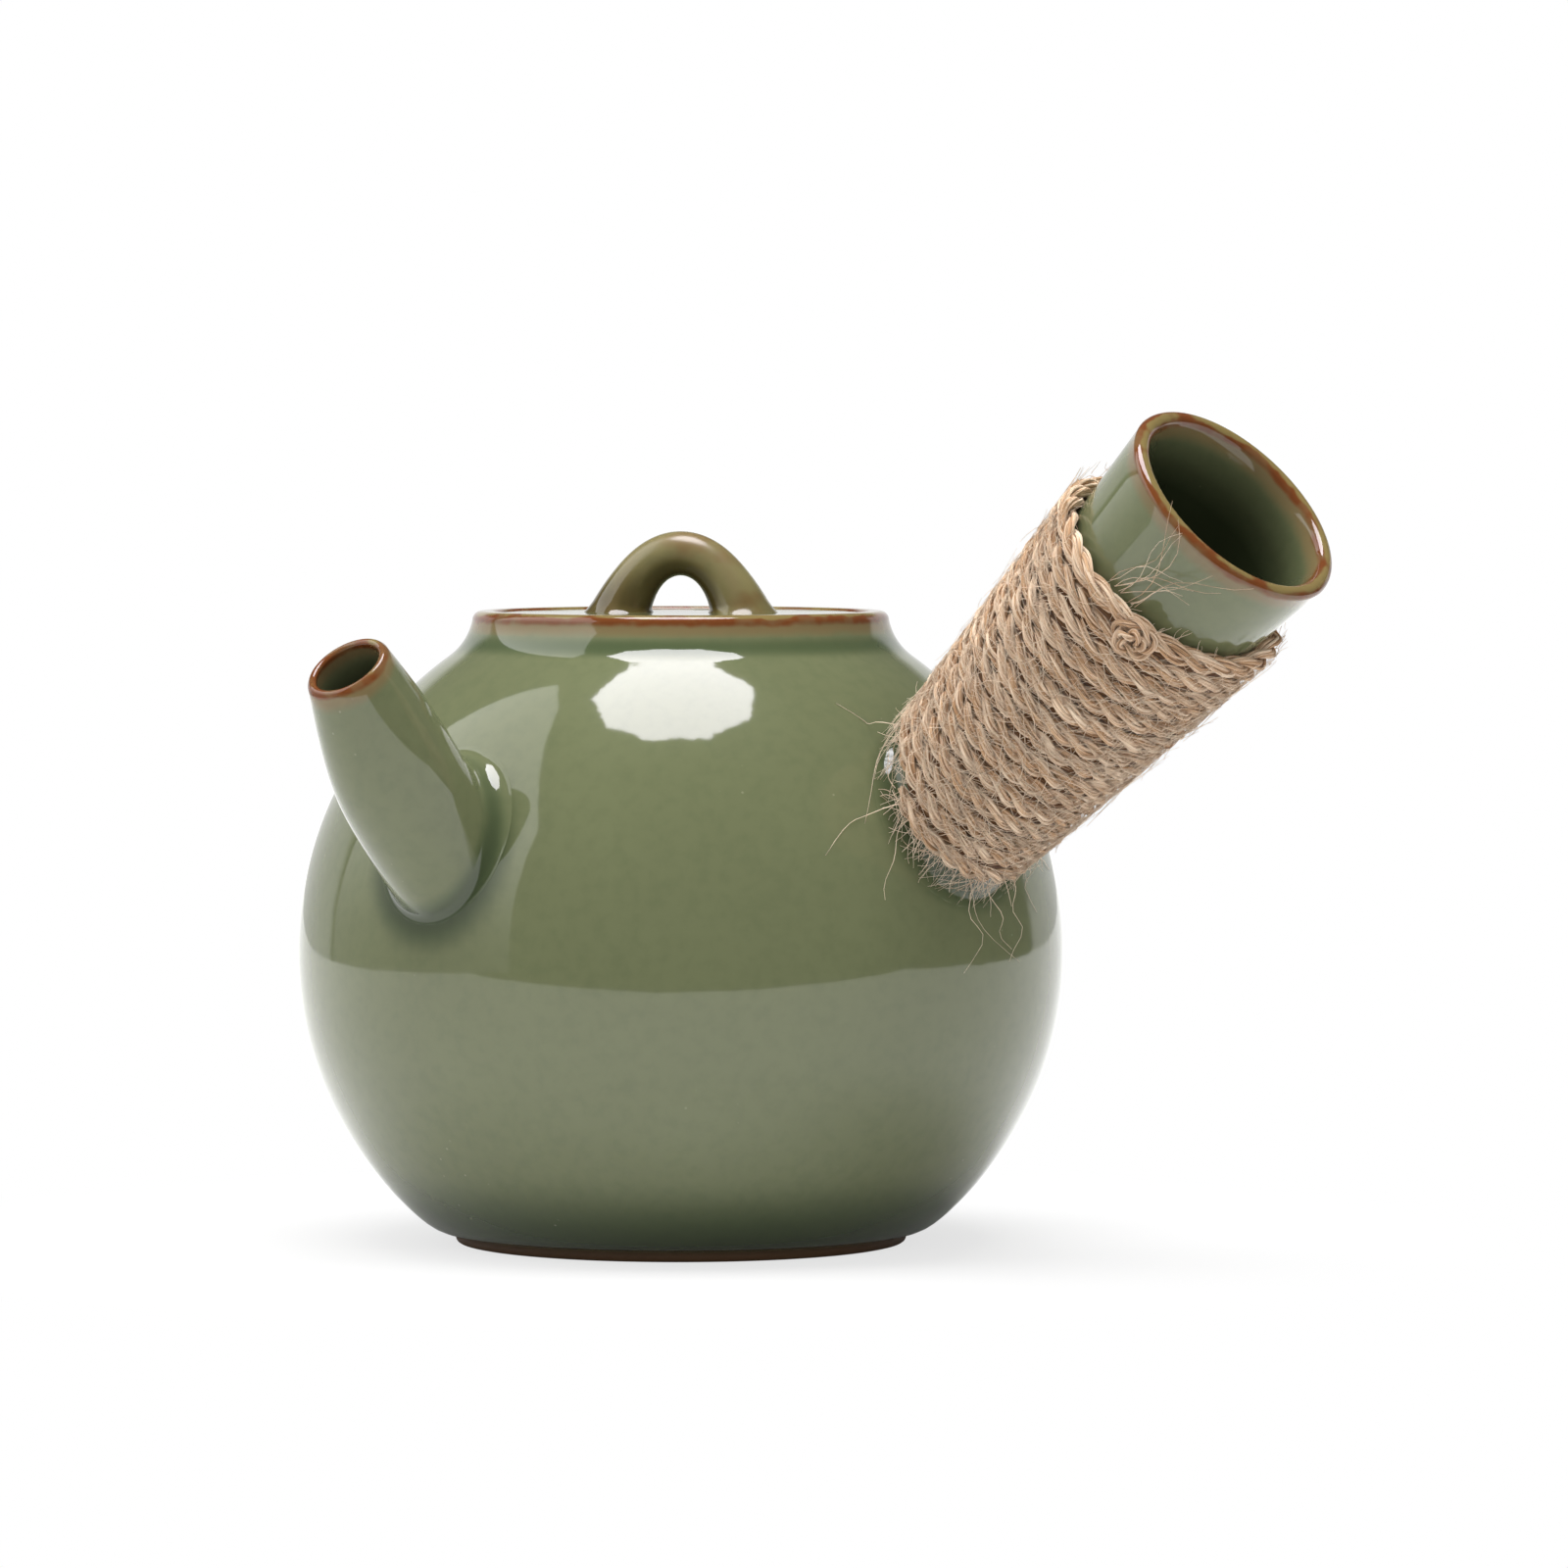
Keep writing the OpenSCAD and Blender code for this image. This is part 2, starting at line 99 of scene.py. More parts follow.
# Twist of the strands, as a share of the twist of the plies
STRAND_LAY = 0.62
# Each strand starts its streaks somewhere in this range
STREAKS = 3
# How far a loose fibre keeps off the pot, and how much of its thickness it loses to its tip
FIBRE_CLEAR = 0.12 * MM
FIBRE_TAPER = 0.55


# Settings that a user would change

def length(name, description, millimetres):
    size = millimetres * MM
    return FloatProperty(name=name, description=description, default=size, unit="LENGTH", precision=5)


def slope(name, description, degrees):
    angle = math.radians(degrees)
    return FloatProperty(name=name, description=description, default=angle, subtype="ANGLE")


def tint(name, description, rgb):
    return FloatVectorProperty(
        name=name, description=description, default=rgb, size=3, subtype="COLOR", min=0, max=1)


def count(name, description, default):
    return IntProperty(name=name, description=description, default=default, min=1)


def power(name, description, default):
    return FloatProperty(name=name, description=description, default=default, min=0)


def share(name, description, default):
    return FloatProperty(
        name=name, description=description, default=default, min=0, max=1, subtype="FACTOR")


class PotSizes(bpy.types.PropertyGroup):
    """The turned pot, its collar and its lid seat"""
    belly_d: length("Belly", "Outside diameter at the widest point", 90)
    belly_z: length("Belly height", "Height of the widest point", 34)
    belly_low_r: length("Lower curve", "Radius of the side below the widest point", 41)
    belly_high_r: length("Upper curve", "Radius of the side above the widest point", 43)
    wall: length("Wall", "Thickness of the wall", 3.5)
    floor_t: length("Floor", "Thickness of the floor", 4)
    floor_fillet: length("Floor turn", "Radius where the floor turns up into the wall", 6)
    foot_d: length("Foot", "Outside diameter of the foot ring", 53)
    foot_w: length("Foot width", "Width of the ring that touches the table", 4)
    foot_h: length("Foot height", "Height of the foot ring under the belly", 1.4)
    foot_hollow: length("Foot hollow", "Depth of the hollow inside the foot ring", 1.2)
    rim_d: length("Collar", "Outside diameter of the collar", 48.6)
    collar_h: length("Collar height", "Height of the rim above the shoulder", 5.3)
    collar_fillet: length("Collar curve", "Radius of the hollow from shoulder to collar", 7)
    rim_w: length("Lip width", "Width of the rim's lip", 2.7)
    rim_round: length("Lip round", "Rounding of the rim's outer edge", 1.1)
    seat_depth: length("Seat depth", "Depth of the lid's seat below the rim", 3.2)
    ledge_w: length("Ledge", "Width of the ledge that carries the lid", 3)
    ledge_t: length("Ledge nose", "Thickness of the ledge at its nose", 2.6)
    ledge_drop: length("Ledge drop", "Drop of the ledge's underside to the wall", 2)
    soft_edge: length("Soft edge", "Rounding of the small edges", 0.6)
    turns: count("Facets round", "Steps of the turned pieces", 144)


class LidSizes(bpy.types.PropertyGroup):
    """The drop-in lid"""
    play: length("Play", "Free play round the lid's edge", 0.4)
    seat_gap: length("Seat gap", "Gap between the lid and its ledge", 0.2)
    drop: length("Drop", "How far the lid's top lies below the rim", 0.2)
    edge_round: length("Edge", "Rounding of the lid's upper edge", 0.9)
    plate_t: length("Plate", "Thickness of the lid's plate", 3)
    flange_h: length("Ring depth", "How far the locating ring reaches below the ledge", 7)
    flange_w: length("Ring width", "Thickness of the locating ring", 2.6)
    flange_play: length("Ring play", "Free play between the ring and the mouth", 0.7)
    vent_d: length("Vent", "Diameter of the steam vent", 2.6)
    vent_from_flange: length("Vent place", "Distance of the vent from the locating ring", 3)


class KnobSizes(bpy.types.PropertyGroup):
    """The loop on the lid"""
    half_span: length("Half span", "Half the span at the middle of the legs", 6)
    rise: length("Rise", "Rise of the loop's middle line", 6.9)
    top_d: length("Top", "Thickness at the top of the loop", 5.2)
    foot_d: length("Foot", "Thickness of a leg at the lid", 7.6)
    splay: length("Splay", "How far each leg splays at its foot", 1.45)
    flare: length("Flare", "Width of the slip fillet round each foot", 0.4)
    turn: slope("Turn", "Turn of the loop about the lid's axis", -62)


class SpoutSizes(bpy.types.PropertyGroup):
    """The spout"""
    root_z: length("Root height", "Height where the axis meets the belly", 47)
    reach: length("Length", "Length along the axis", 26.4)
    tilt: slope("Tilt", "Slope above the level", 56.5)
    mouth_tilt: slope("Mouth tilt", "Slope of the line square to the mouth", 50)
    mouth_d: length("Mouth", "Outside diameter at the mouth", 9.8)
    root_d: length("Root", "Outside diameter of the lower half", 15)
    swell: length("Swell", "Length over which it swells to full width", 18)
    lip: length("Lip", "Wall at the mouth", 1)
    wall: length("Wall", "Wall at the root", 2.3)
    fillet: length("Upper blend", "Radius of the blend on the upper side", 3)
    fillet_low: length("Lower blend", "Radius of the blend on the lower side", 1.3)
    straight: length("Straight run", "Length below the mouth before the spout bows", 10)
    bow: length("Bow", "Rise off the straight line at a full length past the straight run", 3.5)


class HandleSizes(bpy.types.PropertyGroup):
    """The hollow handle"""
    root_z: length("Root height", "Height where the axis meets the belly", 52.2)
    reach: length("Length", "Length along the axis", 53.8)
    tilt: slope("Tilt", "Slope above the level", 41)
    mouth_d: length("Mouth", "Outside diameter at the open end", 27.5)
    root_d: length("Root", "Outside diameter at the root", 17)
    lip: length("Lip", "Wall at the open end", 2)
    wall: length("Wall", "Wall at the root", 2.8)
    fillet: length("Upper blend", "Radius of the blend on the upper side", 2.2)
    fillet_low: length("Lower blend", "Radius of the blend on the lower side", 5)


class TwineSizes(bpy.types.PropertyGroup):
    """The twine round the handle"""
    pitch: length("Pitch", "Distance from one turn to the next", 2.64)
    wound: FloatProperty(
        name="Turns", description="Turns round the handle", default=14.57, min=1, max=24)
    from_mouth: length("From the mouth", "Distance from the open end to the first turn", 11.4)
    dip: length("Dip", "How much further the lowest turn reaches on the lower side", 4.45)
    start_turn: slope("Start", "Place of the upper end, from the upper side", 75)
    thick: length("Thickness", "Thickness of the twine", 2.5)
    lay: length("Lay", "Length of one twist of the plies", 9.5)
    plies: count("Plies", "Plies in the twine", 3)
    fuzz: count("Loose fibres", "Loose fibres on the winding", 3000)
    fringe: count("Fringe", "Loose fibres at the lower end, with a quarter as many at the upper", 260)
    knot_from_mouth: length("Knot", "Distance of the tucked end from the open end", 13.6)
    knot_turn: slope("Knot place", "Place of the tucked end, from the upper side", 236)


class GlazeTints(bpy.types.PropertyGroup):
    """Colours of glaze and clay"""
    celadon: tint("Celadon", "Olive green of the glaze", (0.127, 0.141, 0.071))
    # The pooled green also colours painted shade: in the pool mark, and five times darker in the deep
    # mark.
    deep: tint("Pooled", "Deeper green where the glaze pools", (0.052, 0.074, 0.032))
    tan: tint("Thin", "Tan green where the glaze thins towards an edge", (0.165, 0.124, 0.058))
    rust: tint("Rust", "Iron brown line along an edge", (0.140, 0.042, 0.011))
    crest: tint("Crest", "Golden olive on the crest of an edge", (0.190, 0.140, 0.050))
    olive: tint("Olive", "Olive brown of the knob", (0.180, 0.155, 0.066))
    # The umber also colours painted shade on the inner side of the knob's loop.
    umber_and_shade: tint("Umber", "Dark brown where the knob's glaze pools", (0.056, 0.039, 0.010))
    clay: tint("Clay", "Brown of the bare foot", (0.090, 0.045, 0.017))
    pinhole: tint("Pinhole", "Pale specks where the glaze has pinholes", (0.36, 0.34, 0.25))
    gloss: share("Roughness", "Roughness of the fired glaze", 0.045)


class TwineTints(bpy.types.PropertyGroup):
    """Colours of the jute"""
    # The dark jute also colours the strand laid in the gaps between turns, where it stands for painted
    # shade.
    dark: tint("Dark", "Jute in the gaps", (0.090, 0.040, 0.016))
    middle: tint("Middle", "Jute of the strands", (0.560, 0.330, 0.175))
    pale: tint("Pale", "Bleached jute", (0.930, 0.750, 0.570))


class StageSettings(bpy.types.PropertyGroup):
    """Camera, light and floor"""
    azimuth: slope("Azimuth", "Direction of the camera", -50)
    pitch: slope("Pitch", "How far the camera looks down", 2.53)
    distance: length("Distance", "Distance from the camera to the origin's plane", 1000)
    focal: FloatProperty(
        name="Focal length", description="Lens of the camera in millimetres", default=195, min=20)
    aside: length("Aside", "Place of the origin to the side of the picture's middle", -12.115)
    below: length("Below", "Place of the origin under the picture's middle", 53.712)
    ambient: share("Ambient", "Even light from all round", 0.42)
    overhead_power: power("Overhead light", "Power of the light over the pot", 8.8)
    front_power: power("Front light", "Power of the light on the camera's side", 5.0)
    card_power: power("Card light", "Power of the light from the card on the spout's side", 2.4)
    softbox_light: power("Softbox", "Brightness of the softbox that the glaze mirrors", 12.2)
    card_light: power("Card", "Brightness of the card that the glaze mirrors", 3.0)
    softbox_z: length("Softbox height", "Height of the softbox over the table", 820)
    softbox_d: length("Softbox size", "Width of the softbox", 500)
    card_away: length("Card place", "Distance of the card from the pot's axis", 500)
    card_dim: length("Card shade", "Height below which the card grows dim", 500)
    floor_reach: length("Floor edge", "How far the pale floor reaches towards the camera", 262)
    floor_depth: length("Floor depth", "Size of the pale floor from front to back", 3500)
    floor_w: length("Floor width", "Width of the pale floor", 1200)
    floor_aside: length("Floor place", "How far the middle of the floor lies to the right", 100)


class TeapotSettings(bpy.types.PropertyGroup):
    """All settings of the teapot"""
    pot: PointerProperty(type=PotSizes)
    lid: PointerProperty(type=LidSizes)
    knob: PointerProperty(type=KnobSizes)
    spout: PointerProperty(type=SpoutSizes)
    handle: PointerProperty(type=HandleSizes)
    twine: PointerProperty(type=TwineSizes)
    glaze: PointerProperty(type=GlazeTints)
    jute: PointerProperty(type=TwineTints)
    stage: PointerProperty(type=StageSettings)


def settings():
    return bpy.context.scene.teapot


# Curves of the pot, and tubes that stand on its side

def unit(v):
    return v / np.linalg.norm(v)


def mix(a, b, t):
    return a + (b - a) * t


def smooth(t):
    t = np.clip(t, 0, 1)
    return t * t * (3 - 2 * t)


def near(distance, flat, run):
    """1 up to a flat distance, and a soft fall to 0 over a further run."""
    return smooth(1 - (distance - flat) / run)


def some(draw, low, high):
    """A random length between two numbers of millimetres."""
    return draw.uniform(low, high) * MM


def arc(centre, radius, start, end, steps):
    """Points of an arc in the half plane of the profile, both ends included."""
    angles = [mix(start, end, i / steps) for i in range(steps + 1)]
    return [(centre[0] + radius * math.cos(a), centre[1] + radius * math.sin(a)) for a in angles]


def turned(points, heading):
    """Points that are turned about the pot's axis."""
    spin = np.array(Matrix.Rotation(heading, 3, "Z"))
    return np.asarray(points) @ spin.T


class PotForm:
    """Levels, radii and side of the turned pot."""

    def __init__(self, pot):
        self.pot = pot
        self.low_c = np.array((pot.belly_d / 2 - pot.belly_low_r, pot.belly_z))
        self.high_c = np.array((pot.belly_d / 2 - pot.belly_high_r, pot.belly_z))
        reach = pot.belly_high_r + pot.collar_fillet
        across = pot.rim_d / 2 + pot.collar_fillet - self.high_c[0]
        self.shoulder = math.acos(across / reach)
        self.collar_c = self.high_c + reach * np.array((math.cos(self.shoulder), math.sin(self.shoulder)))
        self.rim_z = pot.belly_z + pot.belly_high_r * math.sin(self.shoulder) + pot.collar_h
        lip_z = self.rim_z - pot.rim_round
        self.collar_end = math.pi + math.asin(max(0, self.collar_c[1] - lip_z) / pot.collar_fillet)
        self.lip_r = self.collar_c[0] + pot.collar_fillet * math.cos(self.collar_end)
        self.gallery_r = self.lip_r - pot.rim_w
        self.ledge_z = self.rim_z - pot.seat_depth
        self.mouth_r = self.gallery_r - pot.ledge_w
        self.floor_z = pot.foot_hollow + pot.floor_t

    def curve(self, z):
        """Centre and radius of the side's curve at a height."""
        if z > self.pot.belly_z:
            return self.high_c, self.pot.belly_high_r
        return self.low_c, self.pot.belly_low_r

    def off(self, p):
        """Distance of a point outside the side."""
        centre, radius = self.curve(p[2])
        return math.hypot(math.hypot(p[0], p[1]) - centre[0], p[2] - centre[1]) - radius

    def normal(self, p):
        centre, _ = self.curve(p[2])
        across = math.hypot(p[0], p[1])
        n = unit(np.array((across - centre[0], p[2] - centre[1])))
        return np.array((p[0] / across * n[0], p[1] / across * n[0], n[1]))

    def on(self, p, off):
        """The nearest point at a given distance off the side."""
        return p + self.normal(p) * (off - self.off(p))

    def place(self, z):
        """The side's point at a height, in the plane of +X."""
        centre, radius = self.curve(z)
        return np.array((centre[0] + math.sqrt(radius ** 2 - (z - centre[1]) ** 2), 0, z))

    def outside(self):
        """Profile from the foot up to the rim."""
        pot = self.pot
        foot_r = pot.foot_d / 2
        edge = pot.soft_edge
        start = math.asin((pot.foot_h + 3 * edge - pot.belly_z) / pot.belly_low_r)
        heel = (foot_r + 2 * edge, pot.foot_h)
        under = self.low_c + pot.belly_low_r * np.array((math.cos(start), math.sin(start)))
        turn = under + 3 * edge * np.array((math.tan(start), -1))
        bend = [tuple(mix(mix(heel, turn, t), mix(turn, under, t), t)) for t in (0, 0.25, 0.5, 0.75)]
        lip_c = (self.lip_r - pot.rim_round, self.rim_z - pot.rim_round)
        return (
            arc((foot_r - edge, edge), edge, -QUARTER, 0, 4)
            + arc((foot_r + edge, pot.foot_h - edge), edge, math.pi, QUARTER, 4)
            + bend
            + arc(self.low_c, pot.belly_low_r, start, 0, 40)
            + arc(self.high_c, pot.belly_high_r, 0, self.shoulder, 48)[1:]
            + arc(self.collar_c, pot.collar_fillet, self.shoulder + math.pi, self.collar_end, 14)[1:]
            + arc(lip_c, pot.rim_round, 0, QUARTER, 8)
        )

    def inside(self):
        """Profile from the rim down to the middle of the floor."""
        pot = self.pot
        edge = pot.soft_edge
        high_r = pot.belly_high_r - pot.wall
        low_r = pot.belly_low_r - pot.wall
        nose_z = self.ledge_z - pot.ledge_t
        throat = math.asin((nose_z - pot.ledge_drop - pot.belly_z) / high_r)
        floor_c_z = self.floor_z + pot.floor_fillet
        floor_a = math.asin((floor_c_z - pot.belly_z) / (low_r - pot.floor_fillet))
        floor_c = (self.low_c[0] + (low_r - pot.floor_fillet) * math.cos(floor_a), floor_c_z)
        return (
            arc((self.gallery_r + edge, self.rim_z - edge), edge, QUARTER, math.pi, 4)
            + arc((self.gallery_r - edge / 2, self.ledge_z + edge / 2), edge / 2, 0, -QUARTER, 3)
            + arc((self.mouth_r + edge, self.ledge_z - edge), edge, QUARTER, math.pi, 4)
            + arc((self.mouth_r + edge, nose_z + edge), edge, math.pi, 1.4 * math.pi, 4)
            + arc(self.high_c, high_r, throat, 0, 30)
            + arc(self.low_c, low_r, 0, floor_a, 20)[1:]
            + arc(floor_c, pot.floor_fillet, floor_a, -QUARTER, 8)[1:]
            + [(0, self.floor_z)]
        )


class SideTube:
    """A hollow tube on the pot's side in the plane of +X, with a round blend at its root."""

    def __init__(self, form, sizes, outer, bore, mouth_tilt, rise=lambda l: 0 * l):
        self.form = form
        self.sizes = sizes
        self.outer = outer
        self.bore = bore
        self.rise = rise
        self.axis = np.array((math.cos(sizes.tilt), 0, math.sin(sizes.tilt)))
        self.up = np.array((-math.sin(sizes.tilt), 0, math.cos(sizes.tilt)))
        self.mouth = form.place(sizes.root_z) + sizes.reach * self.axis
        self.slant = math.tan(sizes.tilt - mouth_tilt)

    def spoke(self, a):
        """Ways outwards from the middle line, at angles from the upper side."""
        a = np.asarray(a)
        return np.cos(a)[..., None] * self.up + np.sin(a)[..., None] * ASIDE

    def at(self, l, r, a):
        """The point at a distance from the mouth, a radius and an angle from the upper side."""
        lean = r * math.cos(a) * self.slant * max(0, 1 - l / self.sizes.reach)
        return self.mouth + (lean - l) * self.axis + self.rise(l) * self.up + r * self.spoke(a)

    def ahead(self, l):
        """The way the middle line runs towards the mouth."""
        return unit(self.axis - (self.rise(l) - self.rise(l - MM)) / MM * self.up)

    def root(self, radius, a):
        """Distance from the mouth at which a line along the tube meets the pot's side."""
        halvings = 36
        low = 0
        high = self.axis @ (self.mouth - np.array((0, 0, self.form.pot.belly_z)))
        for _ in range(halvings):
            middle = (low + high) / 2
            if self.form.off(self.at(middle, radius(middle), a)) > 0:
                low = middle
            else:
                high = middle
        return low

    def blend(self, a, steps):
        """Points of the blend from under the pot's side up to the tube, and where it ends."""
        l = self.root(self.outer, a)
        corner = self.at(l, self.outer(l), a)
        n = self.form.normal(corner)
        away = unit(self.spoke(a) - (self.spoke(a) @ n) * n)
        half = math.acos(away @ self.ahead(l)) / 2
        fillet = mix(self.sizes.fillet, self.sizes.fillet_low, (1 - math.cos(a)) / 2)
        reach = fillet / math.tan(half)
        toe = self.form.on(corner + reach * away, 0)
        top = self.at(l - reach, self.outer(l - reach), a)
        points = [self.form.on(toe + out * away, -deep) for out, deep in TOE]
        for i in range(steps + 1):
            t = i / steps
            w = 2 * t * (1 - t) * math.sin(half)
            points.append((t * t * top + w * corner + (1 - t) ** 2 * toe) / (t * t + w + (1 - t) ** 2))
        return points, l - reach

    def rings(self, sides, blend_steps, wall_steps, lip_steps, bore_steps):
        """Rings of points from the toe of the blend, over the lip and down the bore."""
        angles = [TURN * k / sides for k in range(sides)]
        half_lip = (self.outer(0) - self.bore(0)) / 2
        lip_mid = (self.outer(0) + self.bore(0)) / 2
        blends = [self.blend(a, blend_steps) for a in angles]
        deep = [self.root(self.bore, a) for a in angles]
        rings = [list(ring) for ring in zip(*(points for points, _ in blends))]
        for i in range(1, wall_steps + 1):
            run = [mix(top, half_lip, i / wall_steps) for _, top in blends]
            rings.append([self.at(l, self.outer(l), a) for l, a in zip(run, angles)])
        for i in range(1, lip_steps):
            p = math.pi * i / lip_steps
            l = half_lip * (1 - math.sin(p))
            rings.append([self.at(l, lip_mid + half_lip * math.cos(p), a) for a in angles])
        for i in range(bore_steps + 1):
            run = [mix(half_lip, l, i / bore_steps) for l in deep]
            rings.append([self.at(l, self.bore(l), a) for l, a in zip(run, angles)])
        return rings

    def from_mouth(self, p):
        """Distance of points from the plane of the mouth, along the axis."""
        return (self.mouth - p) @ self.axis

    def off_line(self, p):
        """Distance of points from the middle line."""
        l = self.from_mouth(p)[:, None]
        return np.linalg.norm(p - self.mouth + l * self.axis - self.rise(l) * self.up, axis=1)

    def crease(self, p, reach):
        """1 in the crease between the tube and the pot's side, and 0 further off than reach."""
        past_root = 12 * MM
        l = self.from_mouth(p)
        clear = self.off_line(p) - [self.outer(x) for x in np.clip(l, 0, self.sizes.reach)]
        off = np.array([self.form.off(q) for q in p])
        at_root = (l < self.sizes.reach + past_root) & (off > -GLAZED)
        return at_root * near(np.hypot(np.maximum(clear, 0), np.maximum(off, 0)), 0, reach)


def spout_tube():
    s = settings().spout

    def outer(l):
        return mix(s.mouth_d, s.root_d, math.sin(QUARTER * min(1, l / s.swell))) / 2

    def bore(l):
        return outer(l) - mix(s.lip, s.wall, min(1, l / s.swell))

    def rise(l):
        return s.bow * (np.maximum(0, l - s.straight) / s.reach) ** 2

    return SideTube(PotForm(settings().pot), s, outer, bore, s.mouth_tilt, rise)


def handle_tube():
    h = settings().handle

    def outer(l):
        return mix(h.mouth_d, h.root_d, l / h.reach) / 2

    def bore(l):
        return outer(l) - mix(h.lip, h.wall, min(1, l / h.reach))

    return SideTube(PotForm(settings().pot), h, outer, bore, h.tilt)


# Modelling by hand: lathe work, tubes drawn ring by ring, and cutting

def deselect():
    if bpy.context.mode != "OBJECT":
        bpy.ops.object.mode_set(mode="OBJECT")
    bpy.ops.object.select_all(action="DESELECT")


def select(piece):
    deselect()
    piece.select_set(True)
    bpy.context.view_layer.objects.active = piece


def begin(name):
    """Names the new primitive and opens it for editing, with all of it selected."""
    piece = bpy.context.object
    piece.name = piece.data.name = name
    bpy.ops.object.mode_set(mode="EDIT")
    bpy.ops.mesh.select_all(action="SELECT")
    return piece


def close_mesh(piece, degrees):
    """Merges doubles, turns all faces outwards and smooths the shading."""
    bpy.ops.mesh.select_all(action="SELECT")
    bpy.ops.mesh.remove_doubles(threshold=MERGE)
    bpy.ops.mesh.normals_make_consistent(inside=False)
    bpy.ops.object.mode_set(mode="OBJECT")
    bpy.ops.object.shade_smooth_by_angle(angle=math.radians(degrees))
    return piece


def lathe(name, profile, steps, degrees=40):
    """A profile drawn point by point and spun about the pot's axis."""
    deselect()
    r, z = profile[0]
    bpy.ops.mesh.primitive_plane_add(size=MM, location=(0, 0, 0))
    piece = begin(name)
    bpy.ops.mesh.merge(type="CENTER")
    bpy.ops.transform.translate(value=(r, 0, z))
    for (r0, z0), (r1, z1) in zip(profile, profile[1:]):
        bpy.ops.mesh.extrude_region_move(TRANSFORM_OT_translate={"value": (r1 - r0, 0, z1 - z0)})
    bpy.ops.mesh.select_all(action="SELECT")
    bpy.ops.mesh.spin(steps=steps, angle=TURN, center=(0, 0, 0), axis=(0, 0, 1))
    return close_mesh(piece, degrees)


def draw_tube(name, rings, closed, degrees=50):
    """A tube that starts as a circle and is extruded once for each further ring.

    A closed tube runs back into its first ring, and an open one gets a cap at each end.
    """
    deselect()
    sides = len(rings[0])
    bpy.ops.mesh.primitive_circle_add(vertices=sides, radius=MM)
    piece = begin(name)
    for i, ring in enumerate(rings):
        if i:
            bpy.ops.mesh.extrude_region_move()
        work = bmesh.from_edit_mesh(piece.data)
        for vertex, point in zip([v for v in work.verts if v.select], ring):
            vertex.co = point
        bmesh.update_edit_mesh(piece.data)
    work = bmesh.from_edit_mesh(piece.data)
    work.verts.ensure_lookup_table()
    ends = [work.verts[:sides], work.verts[-sides:]]
    if closed:
        pick_rings(piece, ends)
        bpy.ops.mesh.bridge_edge_loops()
    else:
        for end in ends:
            pick_rings(piece, [end])
            bpy.ops.mesh.edge_face_add()
    return close_mesh(piece, degrees)


def pick_rings(piece, rings):
    """Selects rings of vertices and the edges between them."""
    bpy.ops.mesh.select_all(action="DESELECT")
    for ring in rings:
        for vertex in ring:
            vertex.select = True
    work = bmesh.from_edit_mesh(piece.data)
    work.select_flush(True)
    bmesh.update_edit_mesh(piece.data)


def drill(piece, diameter, depth, middle, direction):
    """Cuts a round hole through a piece."""
    turn = Vector(direction).to_track_quat("Z", "Y").to_euler()
    deselect()
    bpy.ops.mesh.primitive_cylinder_add(
        vertices=HOLE_SIDES, radius=diameter / 2, depth=depth, location=middle, rotation=turn)
    cutter = bpy.context.object
    select(piece)
    bpy.ops.object.modifier_add(type="BOOLEAN")
    cut = piece.modifiers[-1]
    cut.operation = "DIFFERENCE"
    cut.object = cutter
    bpy.ops.object.modifier_apply(modifier=cut.name)
    select(cutter)
    bpy.ops.object.delete()


def points_of(piece):
    """Places of all vertices."""
    co = np.zeros(len(piece.data.vertices) * 3)
    piece.data.vertices.foreach_get("co", co)
    return co.reshape(-1, 3)


def paint(piece, name, values):
    """Writes one number for each vertex, which the materials read."""
    layer = piece.data.attributes.new(name, "FLOAT", "POINT")
    layer.data.foreach_set("value", np.asarray(values, np.float32))


def settle(piece, body, slot, material, *nodes):
    """Gives a finished piece its material, and puts it on its body in place of solids."""
    piece.data.materials.clear()
    piece.data.materials.append(material)
    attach(piece, body)
    if nodes:
        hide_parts(*nodes)


# Shader graphs written as expressions

class Wire:
    """A socket, with Python's arithmetic."""

    def __init__(self, graph, socket):
        self.graph = graph
        self.socket = socket

    def maths(self, operation, *values):
        return self.graph.add("ShaderNodeMath", {"operation": operation}, dict(enumerate(values)))[0]

    def __add__(self, other):
        return self.maths("ADD", self, other)

    def __radd__(self, other):
        return self.maths("ADD", other, self)

    def __sub__(self, other):
        return self.maths("SUBTRACT", self, other)

    def __rsub__(self, other):
        return self.maths("SUBTRACT", other, self)

    def __mul__(self, other):
        return self.maths("MULTIPLY", self, other)

    def __rmul__(self, other):
        return self.maths("MULTIPLY", other, self)

    def fade(self, low, high):
        """0 below low and 1 above high, with a soft change between."""
        made = self.graph.add("ShaderNodeMapRange", {"interpolation_type": "SMOOTHSTEP"},
                              {"Value": self, "From Min": low, "From Max": high})
        return made[0]


class Made:
    """A node whose outputs are wires."""

    def __init__(self, graph, node):
        self.graph = graph
        self.node = node

    def __getitem__(self, key):
        return Wire(self.graph, self.node.outputs[key])


